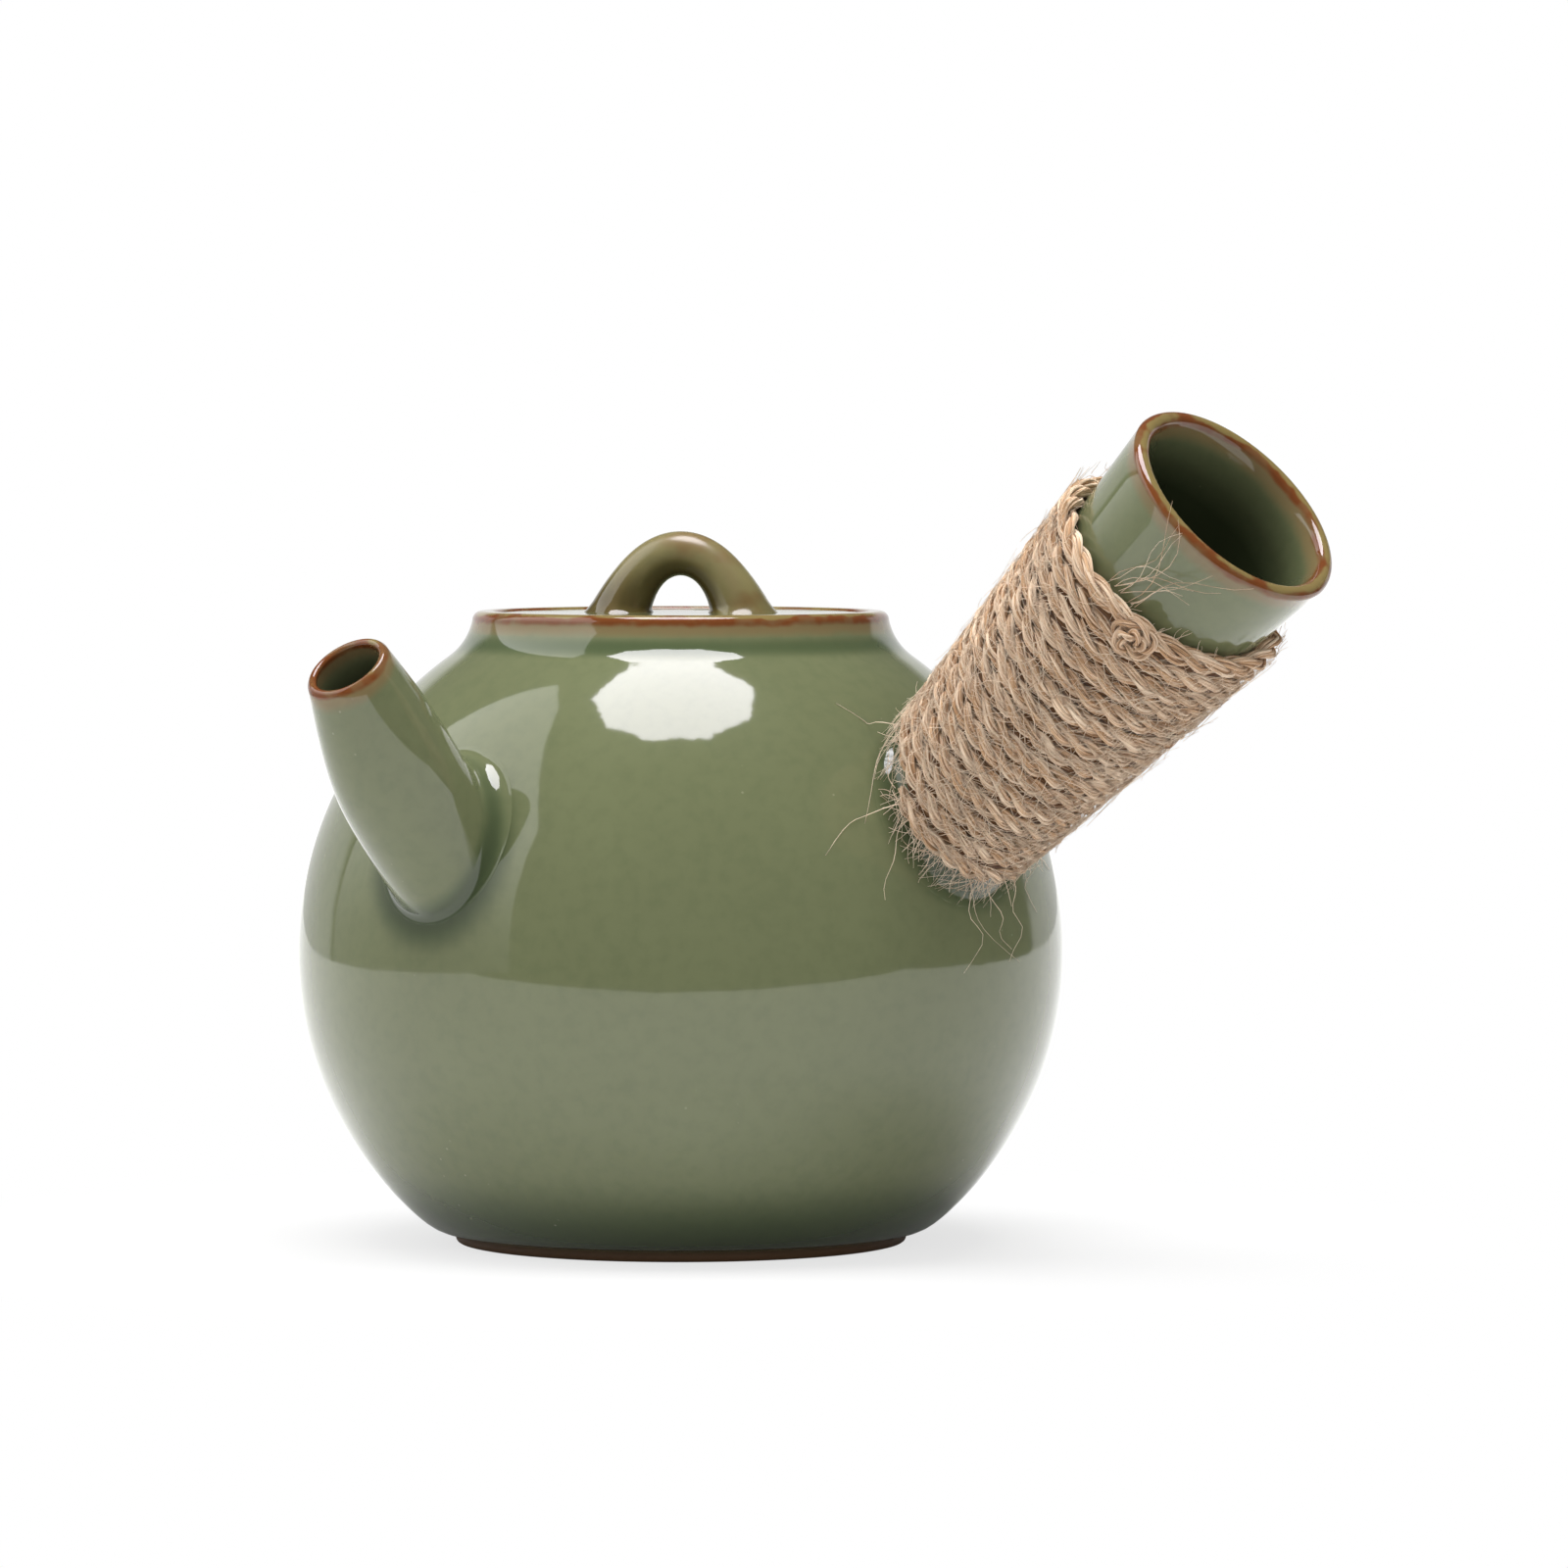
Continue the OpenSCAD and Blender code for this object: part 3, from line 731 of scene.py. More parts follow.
class Graph:
    """The node tree of a material or of the world."""

    def __init__(self, owner):
        owner.use_nodes = True
        self.tree = owner.node_tree
        self.tree.nodes.clear()

    def add(self, kind, options=None, sockets=None):
        """Adds a node, sets its options, then the values or links of its sockets."""
        node = self.tree.nodes.new(kind)
        for key, value in (options or {}).items():
            setattr(node, key, value)
        for key, value in (sockets or {}).items():
            socket = node.inputs[key]
            if isinstance(value, Wire):
                self.tree.links.new(value.socket, socket)
            elif socket.type == "RGBA" and len(value) == 3:
                socket.default_value = (*value, 1)
            else:
                socket.default_value = value
        return Made(self, node)

    def attribute(self, name):
        return self.add("ShaderNodeAttribute", {"attribute_name": name})["Fac"]

    def noise(self, vector, scale, detail, roughness=0.5):
        sockets = {"Vector": vector, "Scale": scale, "Detail": detail, "Roughness": roughness}
        return self.add("ShaderNodeTexNoise", {}, sockets)["Fac"]

    def blend(self, factor, a, b):
        """A colour between two colours."""
        return self.add("ShaderNodeMix", {"data_type": "RGBA"}, {0: factor, 6: a, 7: b})[2]


def glaze(name, body_tint, pooled, dry=0, iron=0):
    """Fired glaze: mottled, brown where it runs thin, dark and smooth where it pools, darkened further by
    painted shade, with pinholes.
    """
    tints = settings().glaze
    material = bpy.data.materials.new(name)
    g = Graph(material)
    place = g.add("ShaderNodeTexCoord")["Object"]
    clouds = g.noise(place, 42, 3)
    specks = g.noise(place, 620, 3)
    darker = [c * 0.93 for c in body_tint]
    paler = [c * 1.07 for c in body_tint]
    colour = g.blend((clouds - 0.5) * 1.6 + 0.5, darker, paler)
    colour = g.blend(specks.fade(0.35, 0.8) * 0.16, colour, tints.deep)
    if iron:
        spots = g.noise(place, 190, 2).fade(0.50, 0.72)
        colour = g.blend(spots * iron, colour, tints.rust)
    # The pool mark is partly glaze that pools and partly painted shade, in hollows, in creases and over
    # the foot.
    pool_and_shade = g.attribute("pool_and_shade")
    uneven = pool_and_shade + (clouds - 0.5) * 0.5 * pool_and_shade
    colour = g.blend(uneven.fade(0.08, 1.0) * 0.85, colour, pooled)
    # Painted shade: the deep mark darkens the glaze nearly to black green near the foot, in the creases
    # at the spout and handle, and down the bores.
    colour = g.blend(g.attribute("deep") * 0.92, colour, [c * 0.2 for c in tints.deep])
    edge = g.attribute("edge")
    wander = (g.noise(place, 260, 2) - 0.5) * 0.34
    thin = edge + wander * edge.fade(0.02, 0.4)
    broken = 0.6 + 0.4 * g.noise(place, 330, 2).fade(0.34, 0.54)
    colour = g.blend(thin.fade(0.10, 0.60), colour, tints.tan)
    colour = g.blend(thin.fade(0.66, 0.84) * broken, colour, tints.rust)
    colour = g.blend(thin.fade(0.93, 0.99), colour, tints.crest)
    cells = g.add("ShaderNodeTexVoronoi", {}, {"Vector": place, "Scale": 560})["Distance"]
    rare = g.noise(place, 70, 1).fade(0.60, 0.70)
    colour = g.blend((1 - cells.fade(0.05, 0.11)) * rare * 0.3, colour, tints.pinhole)
    bare = g.attribute("bare")
    colour = g.blend(bare, colour, tints.clay)
    rough = tints.gloss + specks * 0.03 + bare * 0.5
    if dry:
        rough = rough + dry * (1 - pool_and_shade.fade(0.0, 0.9))
    wave = g.noise(place, 120, 2) + g.noise(place, 1500, 1) * 0.03
    relief = {"Strength": 0.035, "Distance": 1.2 * MM, "Height": wave}
    shader = g.add("ShaderNodeBsdfPrincipled", {}, {
        "Base Color": colour,
        "Roughness": rough,
        "IOR": 1.52,
        "Normal": g.add("ShaderNodeBump", {}, relief)["Normal"],
    })[0]
    g.add("ShaderNodeOutputMaterial", {}, {"Surface": shader})
    return material


def jute(name, lift):
    """Twisted jute: streaks along each strand, darkest on strands of low tone such as the one laid in the
    gaps as painted shade, pale on the worn crowns.
    """
    tints = settings().jute
    material = bpy.data.materials.new(name)
    g = Graph(material)
    run = g.add("ShaderNodeSeparateXYZ", {}, {0: g.add("ShaderNodeUVMap", {"uv_map": "UVMap"})[0]})
    along = run["X"]
    around = run["Y"]
    lane = g.add("ShaderNodeCombineXYZ", {}, {"X": along * 210, "Y": around * 11, "Z": 0.0})[0]
    hair = g.add("ShaderNodeCombineXYZ", {}, {"X": along * 420, "Y": around * 30, "Z": 3.0})[0]
    streak = g.noise(lane, 1.0, 3, 0.6)
    fibre = g.noise(hair, 1.0, 2, 0.6)
    tone = g.attribute("tone")
    level = tone * 0.75 + (streak - 0.5) * 1.6 + (fibre - 0.5) * 0.9 + 0.12 + lift
    colour = g.blend(level.fade(0.02, 0.58), tints.dark, tints.middle)
    colour = g.blend(level.fade(0.48, 1.0), colour, tints.pale)
    relief = {"Strength": 0.8, "Distance": 0.12 * MM, "Height": streak * 0.5 + fibre}
    shader = g.add("ShaderNodeBsdfPrincipled", {}, {
        "Base Color": colour,
        "Roughness": 0.78 + streak * 0.15,
        "Specular IOR Level": 0.15,
        "Sheen Weight": 0.12,
        "Sheen Roughness": 0.5,
        "Normal": g.add("ShaderNodeBump", {}, relief)["Normal"],
    })[0]
    g.add("ShaderNodeOutputMaterial", {}, {"Surface": shader})
    return material


def celadon():
    """The glaze of the pot, made once."""
    tints = settings().glaze
    return bpy.data.materials.get("fired_celadon") or glaze("fired_celadon", tints.celadon, tints.deep)


# Strands of twine

def strand_mesh(name, strands):
    """One mesh of many thin tubes. Each has points, radii, sides, tones and a start for its streaks."""
    guide = np.array((0.31, 0.52, 0.79))
    tiny = 1e-12
    vertices, faces, uvs, tones = [], [], [], []
    base = 0
    for points, radii, sides, tone, shift in strands:
        n = len(points)
        ahead = np.gradient(points, axis=0)
        ahead /= np.linalg.norm(ahead, axis=1)[:, None] + tiny
        side = np.cross(ahead, guide)
        for i in range(1, n):
            side[i] = side[i - 1] - (side[i - 1] @ ahead[i]) * ahead[i]
            side[i] /= np.linalg.norm(side[i]) + tiny
        side[0] /= np.linalg.norm(side[0]) + tiny
        other = np.cross(ahead, side)
        travel = np.concatenate([[0], np.cumsum(np.linalg.norm(np.diff(points, axis=0), axis=1))])
        angles = (TURN * np.arange(sides) / sides)[:, None]
        ring = np.cos(angles) * side[:, None] + np.sin(angles) * other[:, None]
        vertices.append((points[:, None] + ring * np.asarray(radii)[:, None, None]).reshape(-1, 3))
        i, k = np.meshgrid(np.arange(n - 1), np.arange(sides), indexing="ij")
        m = (k + 1) % sides
        low = base + i * sides
        high = low + sides
        faces.extend(np.stack([low + k, low + m, high + m, high + k], -1).reshape(-1, 4).tolist())
        u0 = travel[i].ravel() + shift
        u1 = travel[i + 1].ravel() + shift
        lane = shift * 37
        v0 = (k / sides).ravel() + lane
        v1 = ((k + 1) / sides).ravel() + lane
        uvs.append(np.stack([u0, v0, u0, v1, u1, v1, u1, v0], -1).reshape(-1, 2))
        faces.append([base + k for k in range(sides - 1, -1, -1)])
        faces.append([base + (n - 1) * sides + k for k in range(sides)])
        uvs.append(np.full((2 * sides, 2), shift))
        tones.append(np.repeat(np.broadcast_to(tone, n), sides))
        base += n * sides
    mesh = bpy.data.meshes.new(name)
    mesh.from_pydata(np.concatenate(vertices).tolist(), [], faces)
    layer = mesh.uv_layers.new(name="UVMap")
    layer.data.foreach_set("uv", np.concatenate(uvs).astype(np.float32).ravel())
    mesh.polygons.foreach_set("use_smooth", np.ones(len(mesh.polygons), bool))
    mesh.update()
    piece = bpy.data.objects.new(name, mesh)
    bpy.context.scene.collection.objects.link(piece)
    paint(piece, "tone", np.concatenate(tones))
    return piece


def ripple(draw, n, step, size, reach):
    """Soft random waves along a strand, one value for each point."""
    knots = max(4, int(n * step / reach) + 3)
    return size * np.interp(np.arange(n) * step / reach, np.arange(knots), draw.uniform(-1, 1, knots))


class Winding:
    """The twine's middle line round the handle."""

    def __init__(self):
        self.tube = handle_tube()
        self.twine = settings().twine

    def level(self, t):
        """Distance from the mouth, and angle, after a number of turns."""
        w = self.twine
        a = w.start_turn + TURN * t
        return w.from_mouth + w.pitch * t + w.dip * t / w.wound * (1 - np.cos(a)) / 2, a

    def skin(self, l, a, off):
        """Points at a distance off the handle's side."""
        tube = self.tube
        l = np.asarray(l, float)
        radius = np.array([tube.outer(x) for x in np.atleast_1d(l)]) + off
        points = tube.mouth - l[..., None] * tube.axis + radius[..., None] * tube.spoke(a)
        return turned(points, HANDLE_HEADING)

    def outward(self, a):
        """Ways outwards from the handle's middle line."""
        return turned(self.tube.spoke(a), HANDLE_HEADING)


def frame_along(middle, across):
    """Directions ahead, across and beside along a line."""
    ahead = np.gradient(middle, axis=0)
    ahead /= np.linalg.norm(ahead, axis=1)[:, None]
    across = across - np.sum(across * ahead, axis=1)[:, None] * ahead
    across = across / np.linalg.norm(across, axis=1)[:, None]
    return ahead, across, np.cross(ahead, across)


def ply_strands(draw, middle, across, thick, lay, turn, step):
    """Fine strands of one ply, which twists round the twine's middle line and thins out at both ends."""
    n = len(middle)
    travel = np.arange(n) * step
    thick = thick * (0.4 + 0.6 * smooth(np.minimum(travel, travel[::-1]) / PLY_TIP))
    ahead, across, beside = frame_along(middle, across)
    phase = turn + TURN * travel / lay + ripple(draw, n, step, 0.3, 12 * MM)
    out = np.cos(phase)[:, None] * across + np.sin(phase)[:, None] * beside
    off = thick * PLY_OFF * (1 + ripple(draw, n, step, 0.10, 9 * MM))
    core = middle + off[:, None] * out
    side = np.cross(ahead, out)
    made = [(core, thick * CORE_R, STRAND_SIDES, 0.30, draw.uniform(0, STREAKS))]
    for k in range(STRANDS):
        twist = TURN * (k / STRANDS - travel / (STRAND_LAY * lay)) + ripple(draw, n, step, 0.5, 6 * MM)
        reach = thick * STRAND_OFF * (1 + ripple(draw, n, step, 0.30, 5 * MM))
        fat = thick * STRAND_R * (1 + ripple(draw, n, step, 0.35, 4 * MM))
        line = core + reach[:, None] * (np.cos(twist)[:, None] * out + np.sin(twist)[:, None] * side)
        tone = 0.55 + draw.uniform(-0.2, 0.2) + ripple(draw, n, step, 0.3, 12 * MM)
        made.append((line, fat, STRAND_SIDES, tone, draw.uniform(0, STREAKS)))
    return made


def lying_fibre(draw, winding, l, a, heading, reach, thick, low, rise, paler=0.0):
    """A stray fibre that lies on the winding or on the glaze and follows its curve."""
    steps = 8
    t = np.linspace(0, 1, steps)
    drift = draw.uniform(-0.9, 0.9)
    wave = draw.uniform(3, 8)
    shift = draw.uniform(0, 6)
    course = heading + drift * t + 0.35 * np.sin(t * wave + shift)
    radius = winding.tube.outer(l) + low
    run = reach / (steps - 1)
    away = l + np.concatenate([[0], np.cumsum(np.sin(course[1:]) * run)])
    turn = a + np.concatenate([[0], np.cumsum(np.cos(course[1:]) * run / radius)])
    points = winding.skin(away, turn, low + rise * t ** 1.6)
    radii = thick / 2 * (1 - FIBRE_TAPER * t)
    return points, radii, FIBRE_SIDES, draw.uniform(0.1, 1.0) + paler, draw.uniform(0, STREAKS)


def hanging_fibre(draw, form, root, lead, reach, thick, droop, curl):
    """A stray fibre that leaves the winding's end, droops and keeps off the pot."""
    steps = 12
    lead = unit(lead)
    aside = unit(np.cross(lead, draw.normal(size=3)))
    bend = draw.uniform(-0.9, 0.9)
    wave = draw.uniform(6, 13)
    shift = draw.uniform(0, 6)
    points = []
    for i in range(steps):
        t = i / (steps - 1)
        p = root + reach * (t * lead + (bend * t * t + curl * t * math.sin(wave * t + shift)) * aside)
        p = p - np.array((0, 0, droop * reach * t * t))
        if form.off(p) < FIBRE_CLEAR:
            p = form.on(p, FIBRE_CLEAR)
        points.append(p)
    radii = thick / 2 * (1 - FIBRE_TAPER * np.linspace(0, 1, steps))
    return np.array(points), radii, FIBRE_SIDES, draw.uniform(0.6, 1.0), draw.uniform(0, STREAKS)


# Operators, one for each piece

class TEAPOT_OT_pot(bpy.types.Operator):
    """Turn the pot, with its collar, gallery and foot"""
    bl_idname = "teapot.pot"
    bl_label = "Pot"

    def execute(self, context):
        pot = settings().pot
        form = PotForm(pot)
        foot_in = pot.foot_d / 2 - pot.foot_w
        under = [(0, pot.foot_hollow), (foot_in - pot.foot_hollow, pot.foot_hollow), (foot_in, 0)]
        piece = lathe("pot_shell", under + form.outside() + form.inside(), pot.turns)
        spout = spout_tube()
        reach = spout.sizes.reach
        root = turned(spout.at(reach, 0, 0), SPOUT_HEADING)
        along = turned(spout.ahead(reach), SPOUT_HEADING)
        drill(piece, 2 * spout.bore(reach), 30 * MM, root - 2 * MM * along, along)
        self.mark(piece, form, spout, foot_in)
        settle(piece, "pot", "celadon_glaze", celadon(), "pot_body", "pot_shoulder", "pot_collar")
        return {"FINISHED"}

    def mark(self, piece, form, spout, foot_in):
        """Marks the thin glaze at the lip, the pooled glaze, painted shade over the foot and in the
        creases, and the bare foot.
        """
        pot = form.pot
        p = points_of(piece)
        z = p[:, 2]
        across = np.hypot(p[:, 0], p[:, 1])
        crest = np.hypot(across - (form.lip_r - 0.5 * pot.rim_w), z - form.rim_z)
        above_ledge = z > form.ledge_z + 0.5 * MM
        paint(piece, "edge", near(crest, 0.6 * MM, 3.8 * MM) * above_ledge)
        neck_z = form.rim_z - 3.7 * MM
        outside = np.hypot(across - form.low_c[0], z - form.low_c[1]) - pot.belly_low_r > -GLAZED
        over_foot = z - pot.foot_h
        by_spout = turned(p, -SPOUT_HEADING)
        by_handle = turned(p, -HANDLE_HEADING)
        handle = handle_tube()
        # Pooled glaze in the collar's hollow and in the creases at the spout and handle, with painted
        # shade there too; the band over the foot is painted shade.
        pools = [
            near(np.abs(z - neck_z), 0, 1.9 * MM) * 0.9 * (across > form.gallery_r),
            spout.crease(by_spout, POOL_SHADE_REACH),
            handle.crease(by_handle, POOL_SHADE_REACH),
            near(over_foot, 0, 12 * MM) * outside,
        ]
        paint(piece, "pool_and_shade", np.max(pools, axis=0))
        # Painted shade near the foot and in the creases at the spout and handle.
        shade_marks = [
            near(over_foot, 0, 10 * MM) * 0.4 * outside,
            spout.crease(by_spout, 4.2 * MM) * 0.5,
            handle.crease(by_handle, 3.2 * MM) * 0.6,
        ]
        paint(piece, "deep", np.max(shade_marks, axis=0))
        paint(piece, "bare", near(z, 0.9 * MM, 0.8 * MM) * (across > foot_in - 2 * MM))


def lute_tube(name, tube, rings, heading, crest_share, pooled, node):
    """Draws a tube on the pot's side, with thin glaze at its lip, pooled glaze and painted shade at its
    root, and painted shade down its bore.
    """
    piece = draw_tube(name, [turned(ring, heading) for ring in rings], True)
    p = turned(points_of(piece), -heading)
    l = tube.from_mouth(p)
    away = tube.off_line(p)
    lip_mid = (tube.outer(0) + tube.bore(0)) / 2
    half = (tube.outer(0) - tube.bore(0)) / 2
    lean = (p - tube.mouth) @ tube.up * tube.slant
    crest = np.hypot(away - lip_mid, np.maximum(0, l + lean - 0.3 * half))
    paint(piece, "edge", crest_share * near(crest, 0.1 * half, 3.2 * MM))
    wall_mid = [(tube.outer(x) + tube.bore(x)) / 2 for x in np.maximum(0, l)]
    inside = away < wall_mid
    # Pooled glaze, with painted shade, in the crease at the root.
    paint(piece, "pool_and_shade", np.where(inside, 0, tube.crease(p, pooled)))
    # Painted shade: darker further down the bore, and in the crease at the root.
    paint(piece, "deep", np.where(inside, smooth(l / (9 * MM)), tube.crease(p, 0.54 * pooled) * 0.5))
    settle(piece, "pot", "celadon_glaze", celadon(), node)


class TEAPOT_OT_spout(bpy.types.Operator):
    """Draw the spout from its blend on the belly to its lip"""
    bl_idname = "teapot.spout"
    bl_label = "Spout"

    def execute(self, context):
        tube = spout_tube()
        rings = tube.rings(sides=72, blend_steps=16, wall_steps=26, lip_steps=10, bore_steps=14)
        lute_tube("spout_tube", tube, rings, SPOUT_HEADING, 0.91, 3.5 * MM, "spout")
        return {"FINISHED"}


class TEAPOT_OT_handle(bpy.types.Operator):
    """Draw the hollow handle from its blend on the belly to its lip"""
    bl_idname = "teapot.handle"
    bl_label = "Handle"

    def execute(self, context):
        tube = handle_tube()
        rings = tube.rings(sides=96, blend_steps=16, wall_steps=26, lip_steps=14, bore_steps=20)
        lute_tube("handle_tube", tube, rings, HANDLE_HEADING, 1.0, POOL_SHADE_REACH, "side_handle")
        return {"FINISHED"}


class TEAPOT_OT_strainer(bpy.types.Operator):
    """Take over the pierced dome behind the spout, with its edges smoothed"""
    bl_idname = "teapot.strainer"
    bl_label = "Strainer"

    def execute(self, context):
        piece = frame["nodes"]["strainer"].copy()
        piece.data = piece.data.copy()
        piece.name = piece.data.name = "strainer_dome"
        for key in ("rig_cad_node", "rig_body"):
            del piece[key]
        piece.parent = None
        context.scene.collection.objects.link(piece)
        select(piece)
        bpy.ops.object.mode_set(mode="EDIT")
        bpy.ops.mesh.select_all(action="SELECT")
        bpy.ops.mesh.remove_doubles(threshold=MERGE)
        bpy.ops.object.mode_set(mode="OBJECT")
        bpy.ops.object.shade_smooth_by_angle(angle=math.radians(30))
        settle(piece, "pot", "celadon_glaze", celadon(), "strainer")
        return {"FINISHED"}


class TEAPOT_OT_lid(bpy.types.Operator):
    """Turn the drop-in lid and drill its vent"""
    bl_idname = "teapot.lid"
    bl_label = "Lid"

    def execute(self, context):
        form = PotForm(settings().pot)
        s = settings().lid
        edge = form.pot.soft_edge
        top = form.rim_z - s.drop
        seat = form.ledge_z + s.seat_gap
        outer = form.gallery_r - s.play
        ring = form.mouth_r - s.flange_play
        inner = ring - s.flange_w
        low = form.ledge_z - s.flange_h
        plate = top - s.plate_t
        profile = (
            [(0, plate)]
            + arc((inner - edge, plate - edge), edge, QUARTER, 0, 4)
            + arc((inner + edge, low + edge), edge, math.pi, 1.5 * math.pi, 4)
            + arc((ring - edge, low + edge), edge, -QUARTER, 0, 4)
            + [(ring, seat - 0.3 * edge), (ring + 0.3 * edge, seat), (outer - 0.5 * edge, seat)]
            + [(outer, seat + 0.5 * edge)]
            + arc((outer - s.edge_round, top - s.edge_round), s.edge_round, 0, QUARTER, 8)
            + [(outer - s.edge_round - i * MM, top) for i in (0.7, 1.4, 2.1, 2.8)]
            + [(0.6 * outer, top), (0, top)]
        )
        crease_angle = 35
        piece = lathe("lid_plate", profile, form.pot.turns, crease_angle)
        turn = settings().knob.turn + QUARTER
        vent = inner - s.vent_from_flange
        middle = (vent * math.cos(turn), vent * math.sin(turn), (plate + top) / 2)
        drill(piece, s.vent_d, 4 * s.plate_t, middle, (0, 0, 1))
        select(piece)
        bpy.ops.object.shade_smooth_by_angle(angle=math.radians(crease_angle))
        p = points_of(piece)
        across = np.hypot(p[:, 0], p[:, 1])
        crest = np.hypot(across - (outer - 0.3 * s.edge_round), p[:, 2] - (top - 0.3 * s.edge_round))
        paint(piece, "edge", near(crest, 0, 2.2 * MM) * 0.8)
        paint(piece, "bare", near(p[:, 2], seat, 0.3 * MM) * (across > ring - 0.2 * MM))
        settle(piece, "lid", "celadon_glaze", celadon(), "lid")
        self.keep_from_softbox(piece)
        return {"FINISHED"}

    def keep_from_softbox(self, piece):
        """Leaves the softbox out of the lid's reflections, which would hide its colour from above."""
        kept = bpy.data.collections.new("not_in_softbox")
        kept.objects.link(piece)
        kept.collection_objects[0].light_linking.link_state = "EXCLUDE"
        bpy.data.objects["softbox"].light_linking.receiver_collection = kept


class TEAPOT_OT_knob(bpy.types.Operator):
    """Pull the loop of the lid, thicker towards its splayed feet"""
    bl_idname = "teapot.knob"
    bl_label = "Knob"

    def execute(self, context):
        s = settings().knob
        form = PotForm(settings().pot)
        top = form.rim_z - settings().lid.drop
        steps = 72
        sides = 36
        flare_h = 1.1 * MM
        sunk = 0.08 * MM
        rings = []
        for i in range(steps + 1):
            a = math.pi * i / steps
            foot = (1 - math.sin(a)) ** 2
            height = s.rise * math.sin(a)
            thick = mix(s.top_d, s.foot_d, foot) / 2 + s.flare * max(0, 1 - height / flare_h) ** 2
            middle = np.array((math.cos(a) * (s.half_span + s.splay * foot), 0, height - sunk * foot))
            out = unit(np.array((math.cos(a) / s.half_span, 0, math.sin(a) / s.rise)))
            ring = []
            for k in range(sides):
                b = TURN * k / sides
                ring.append(middle + thick * (math.cos(b) * out + math.sin(b) * ASIDE))
            rings.append(turned(ring, s.turn) + np.array((0, 0, top)))
        piece = draw_tube("knob_loop", rings, False)
        p = points_of(piece)
        height = p[:, 2] - top
        along = turned(p, -s.turn)[:, 0]
        left = along < 0
        # Pooled umber up the legs, higher and stronger on the left leg, and painted shade on the loop's
        # inner side.
        low = near(height, 0, np.where(left, 8.5 * MM, 6.5 * MM)) * np.where(left, 1.0, 0.5)
        from_middle = np.hypot(along / s.half_span, height / s.rise)
        paint(piece, "pool_and_shade", np.maximum(low, smooth((1.08 - from_middle) / 0.35)))
        paint(piece, "edge", smooth(1 - np.abs(from_middle - 1.25) * 3) * 0.3)
        tints = settings().glaze
        olive = glaze("fired_olive", tints.olive, tints.umber_and_shade, dry=0.19, iron=0.4)
        settle(piece, "lid", "olive_glaze", olive, "lid_knob")
        return {"FINISHED"}


class TEAPOT_OT_twine(bpy.types.Operator):
    """Wind the three-ply twine round the handle"""
    bl_idname = "teapot.twine"
    bl_label = "Twine"

    def execute(self, context):
        w = settings().twine
        draw = np.random.RandomState(11)
        winding = Winding()
        handle = settings().handle
        step = 0.6 * MM
        gap_shade_r = 0.85 * MM
        middle_r = (handle.mouth_d + handle.root_d) / 4 + w.thick / 2
        n = int(w.wound * TURN * middle_r / step)
        l, a = winding.level(np.linspace(0, w.wound, n))
        l = l + ripple(draw, n, step, 0.22 * MM, 14 * MM)
        off = w.thick * 0.47 + ripple(draw, n, step, 0.16 * MM, 9 * MM)
        middle = winding.skin(l, a, off)
        outward = winding.outward(a)
        # A thin strand of the darkest tone laid under the gaps between turns, as painted shade there.
        between = winding.skin(l + w.pitch / 2, a, np.full(n, 0.65 * MM))[:-int(n / w.wound):2]
        material = jute("jute_strands", 0.16)
        for ply in range(w.plies):
            made = ply_strands(draw, middle, outward, w.thick, w.lay, TURN * ply / w.plies, step)
            if ply == 0:
                made.append((between, np.full(len(between), gap_shade_r), 6, -0.4, 0.0))
            piece = strand_mesh("twine_ply", made)
            settle(piece, "pot", "jute_twine", material, "twine_wrap")
        return {"FINISHED"}


class TEAPOT_OT_knot(bpy.types.Operator):
    """Coil the twine's tucked end into a small rosette"""
    bl_idname = "teapot.knot"
    bl_label = "Knot"

    def execute(self, context):
        w = settings().twine
        draw = np.random.RandomState(31)
        winding = Winding()
        step = 0.35 * MM
        turns = 2.1
        n = 90
        t = np.linspace(0, 1, n)
        sweep = TURN * turns * t + 2.0
        radius = mix(0.5, 2.9, t) * MM
        l = w.knot_from_mouth + radius * np.sin(sweep) * 0.9
        a = w.knot_turn + radius * np.cos(sweep) / (winding.tube.outer(w.knot_from_mouth) + w.thick)
        off = mix(3.6, 2.0, smooth(t)) * MM
        middle = winding.skin(l, a, off)
        outward = winding.outward(a)
        made = []
        for ply in range(2):
            made += ply_strands(draw, middle, outward, w.thick * 0.62, 6 * MM, math.pi * ply, step)
        piece = strand_mesh("twine_knot", made)
        settle(piece, "pot", "jute_twine", jute("jute_knot", 0.16))
        return {"FINISHED"}


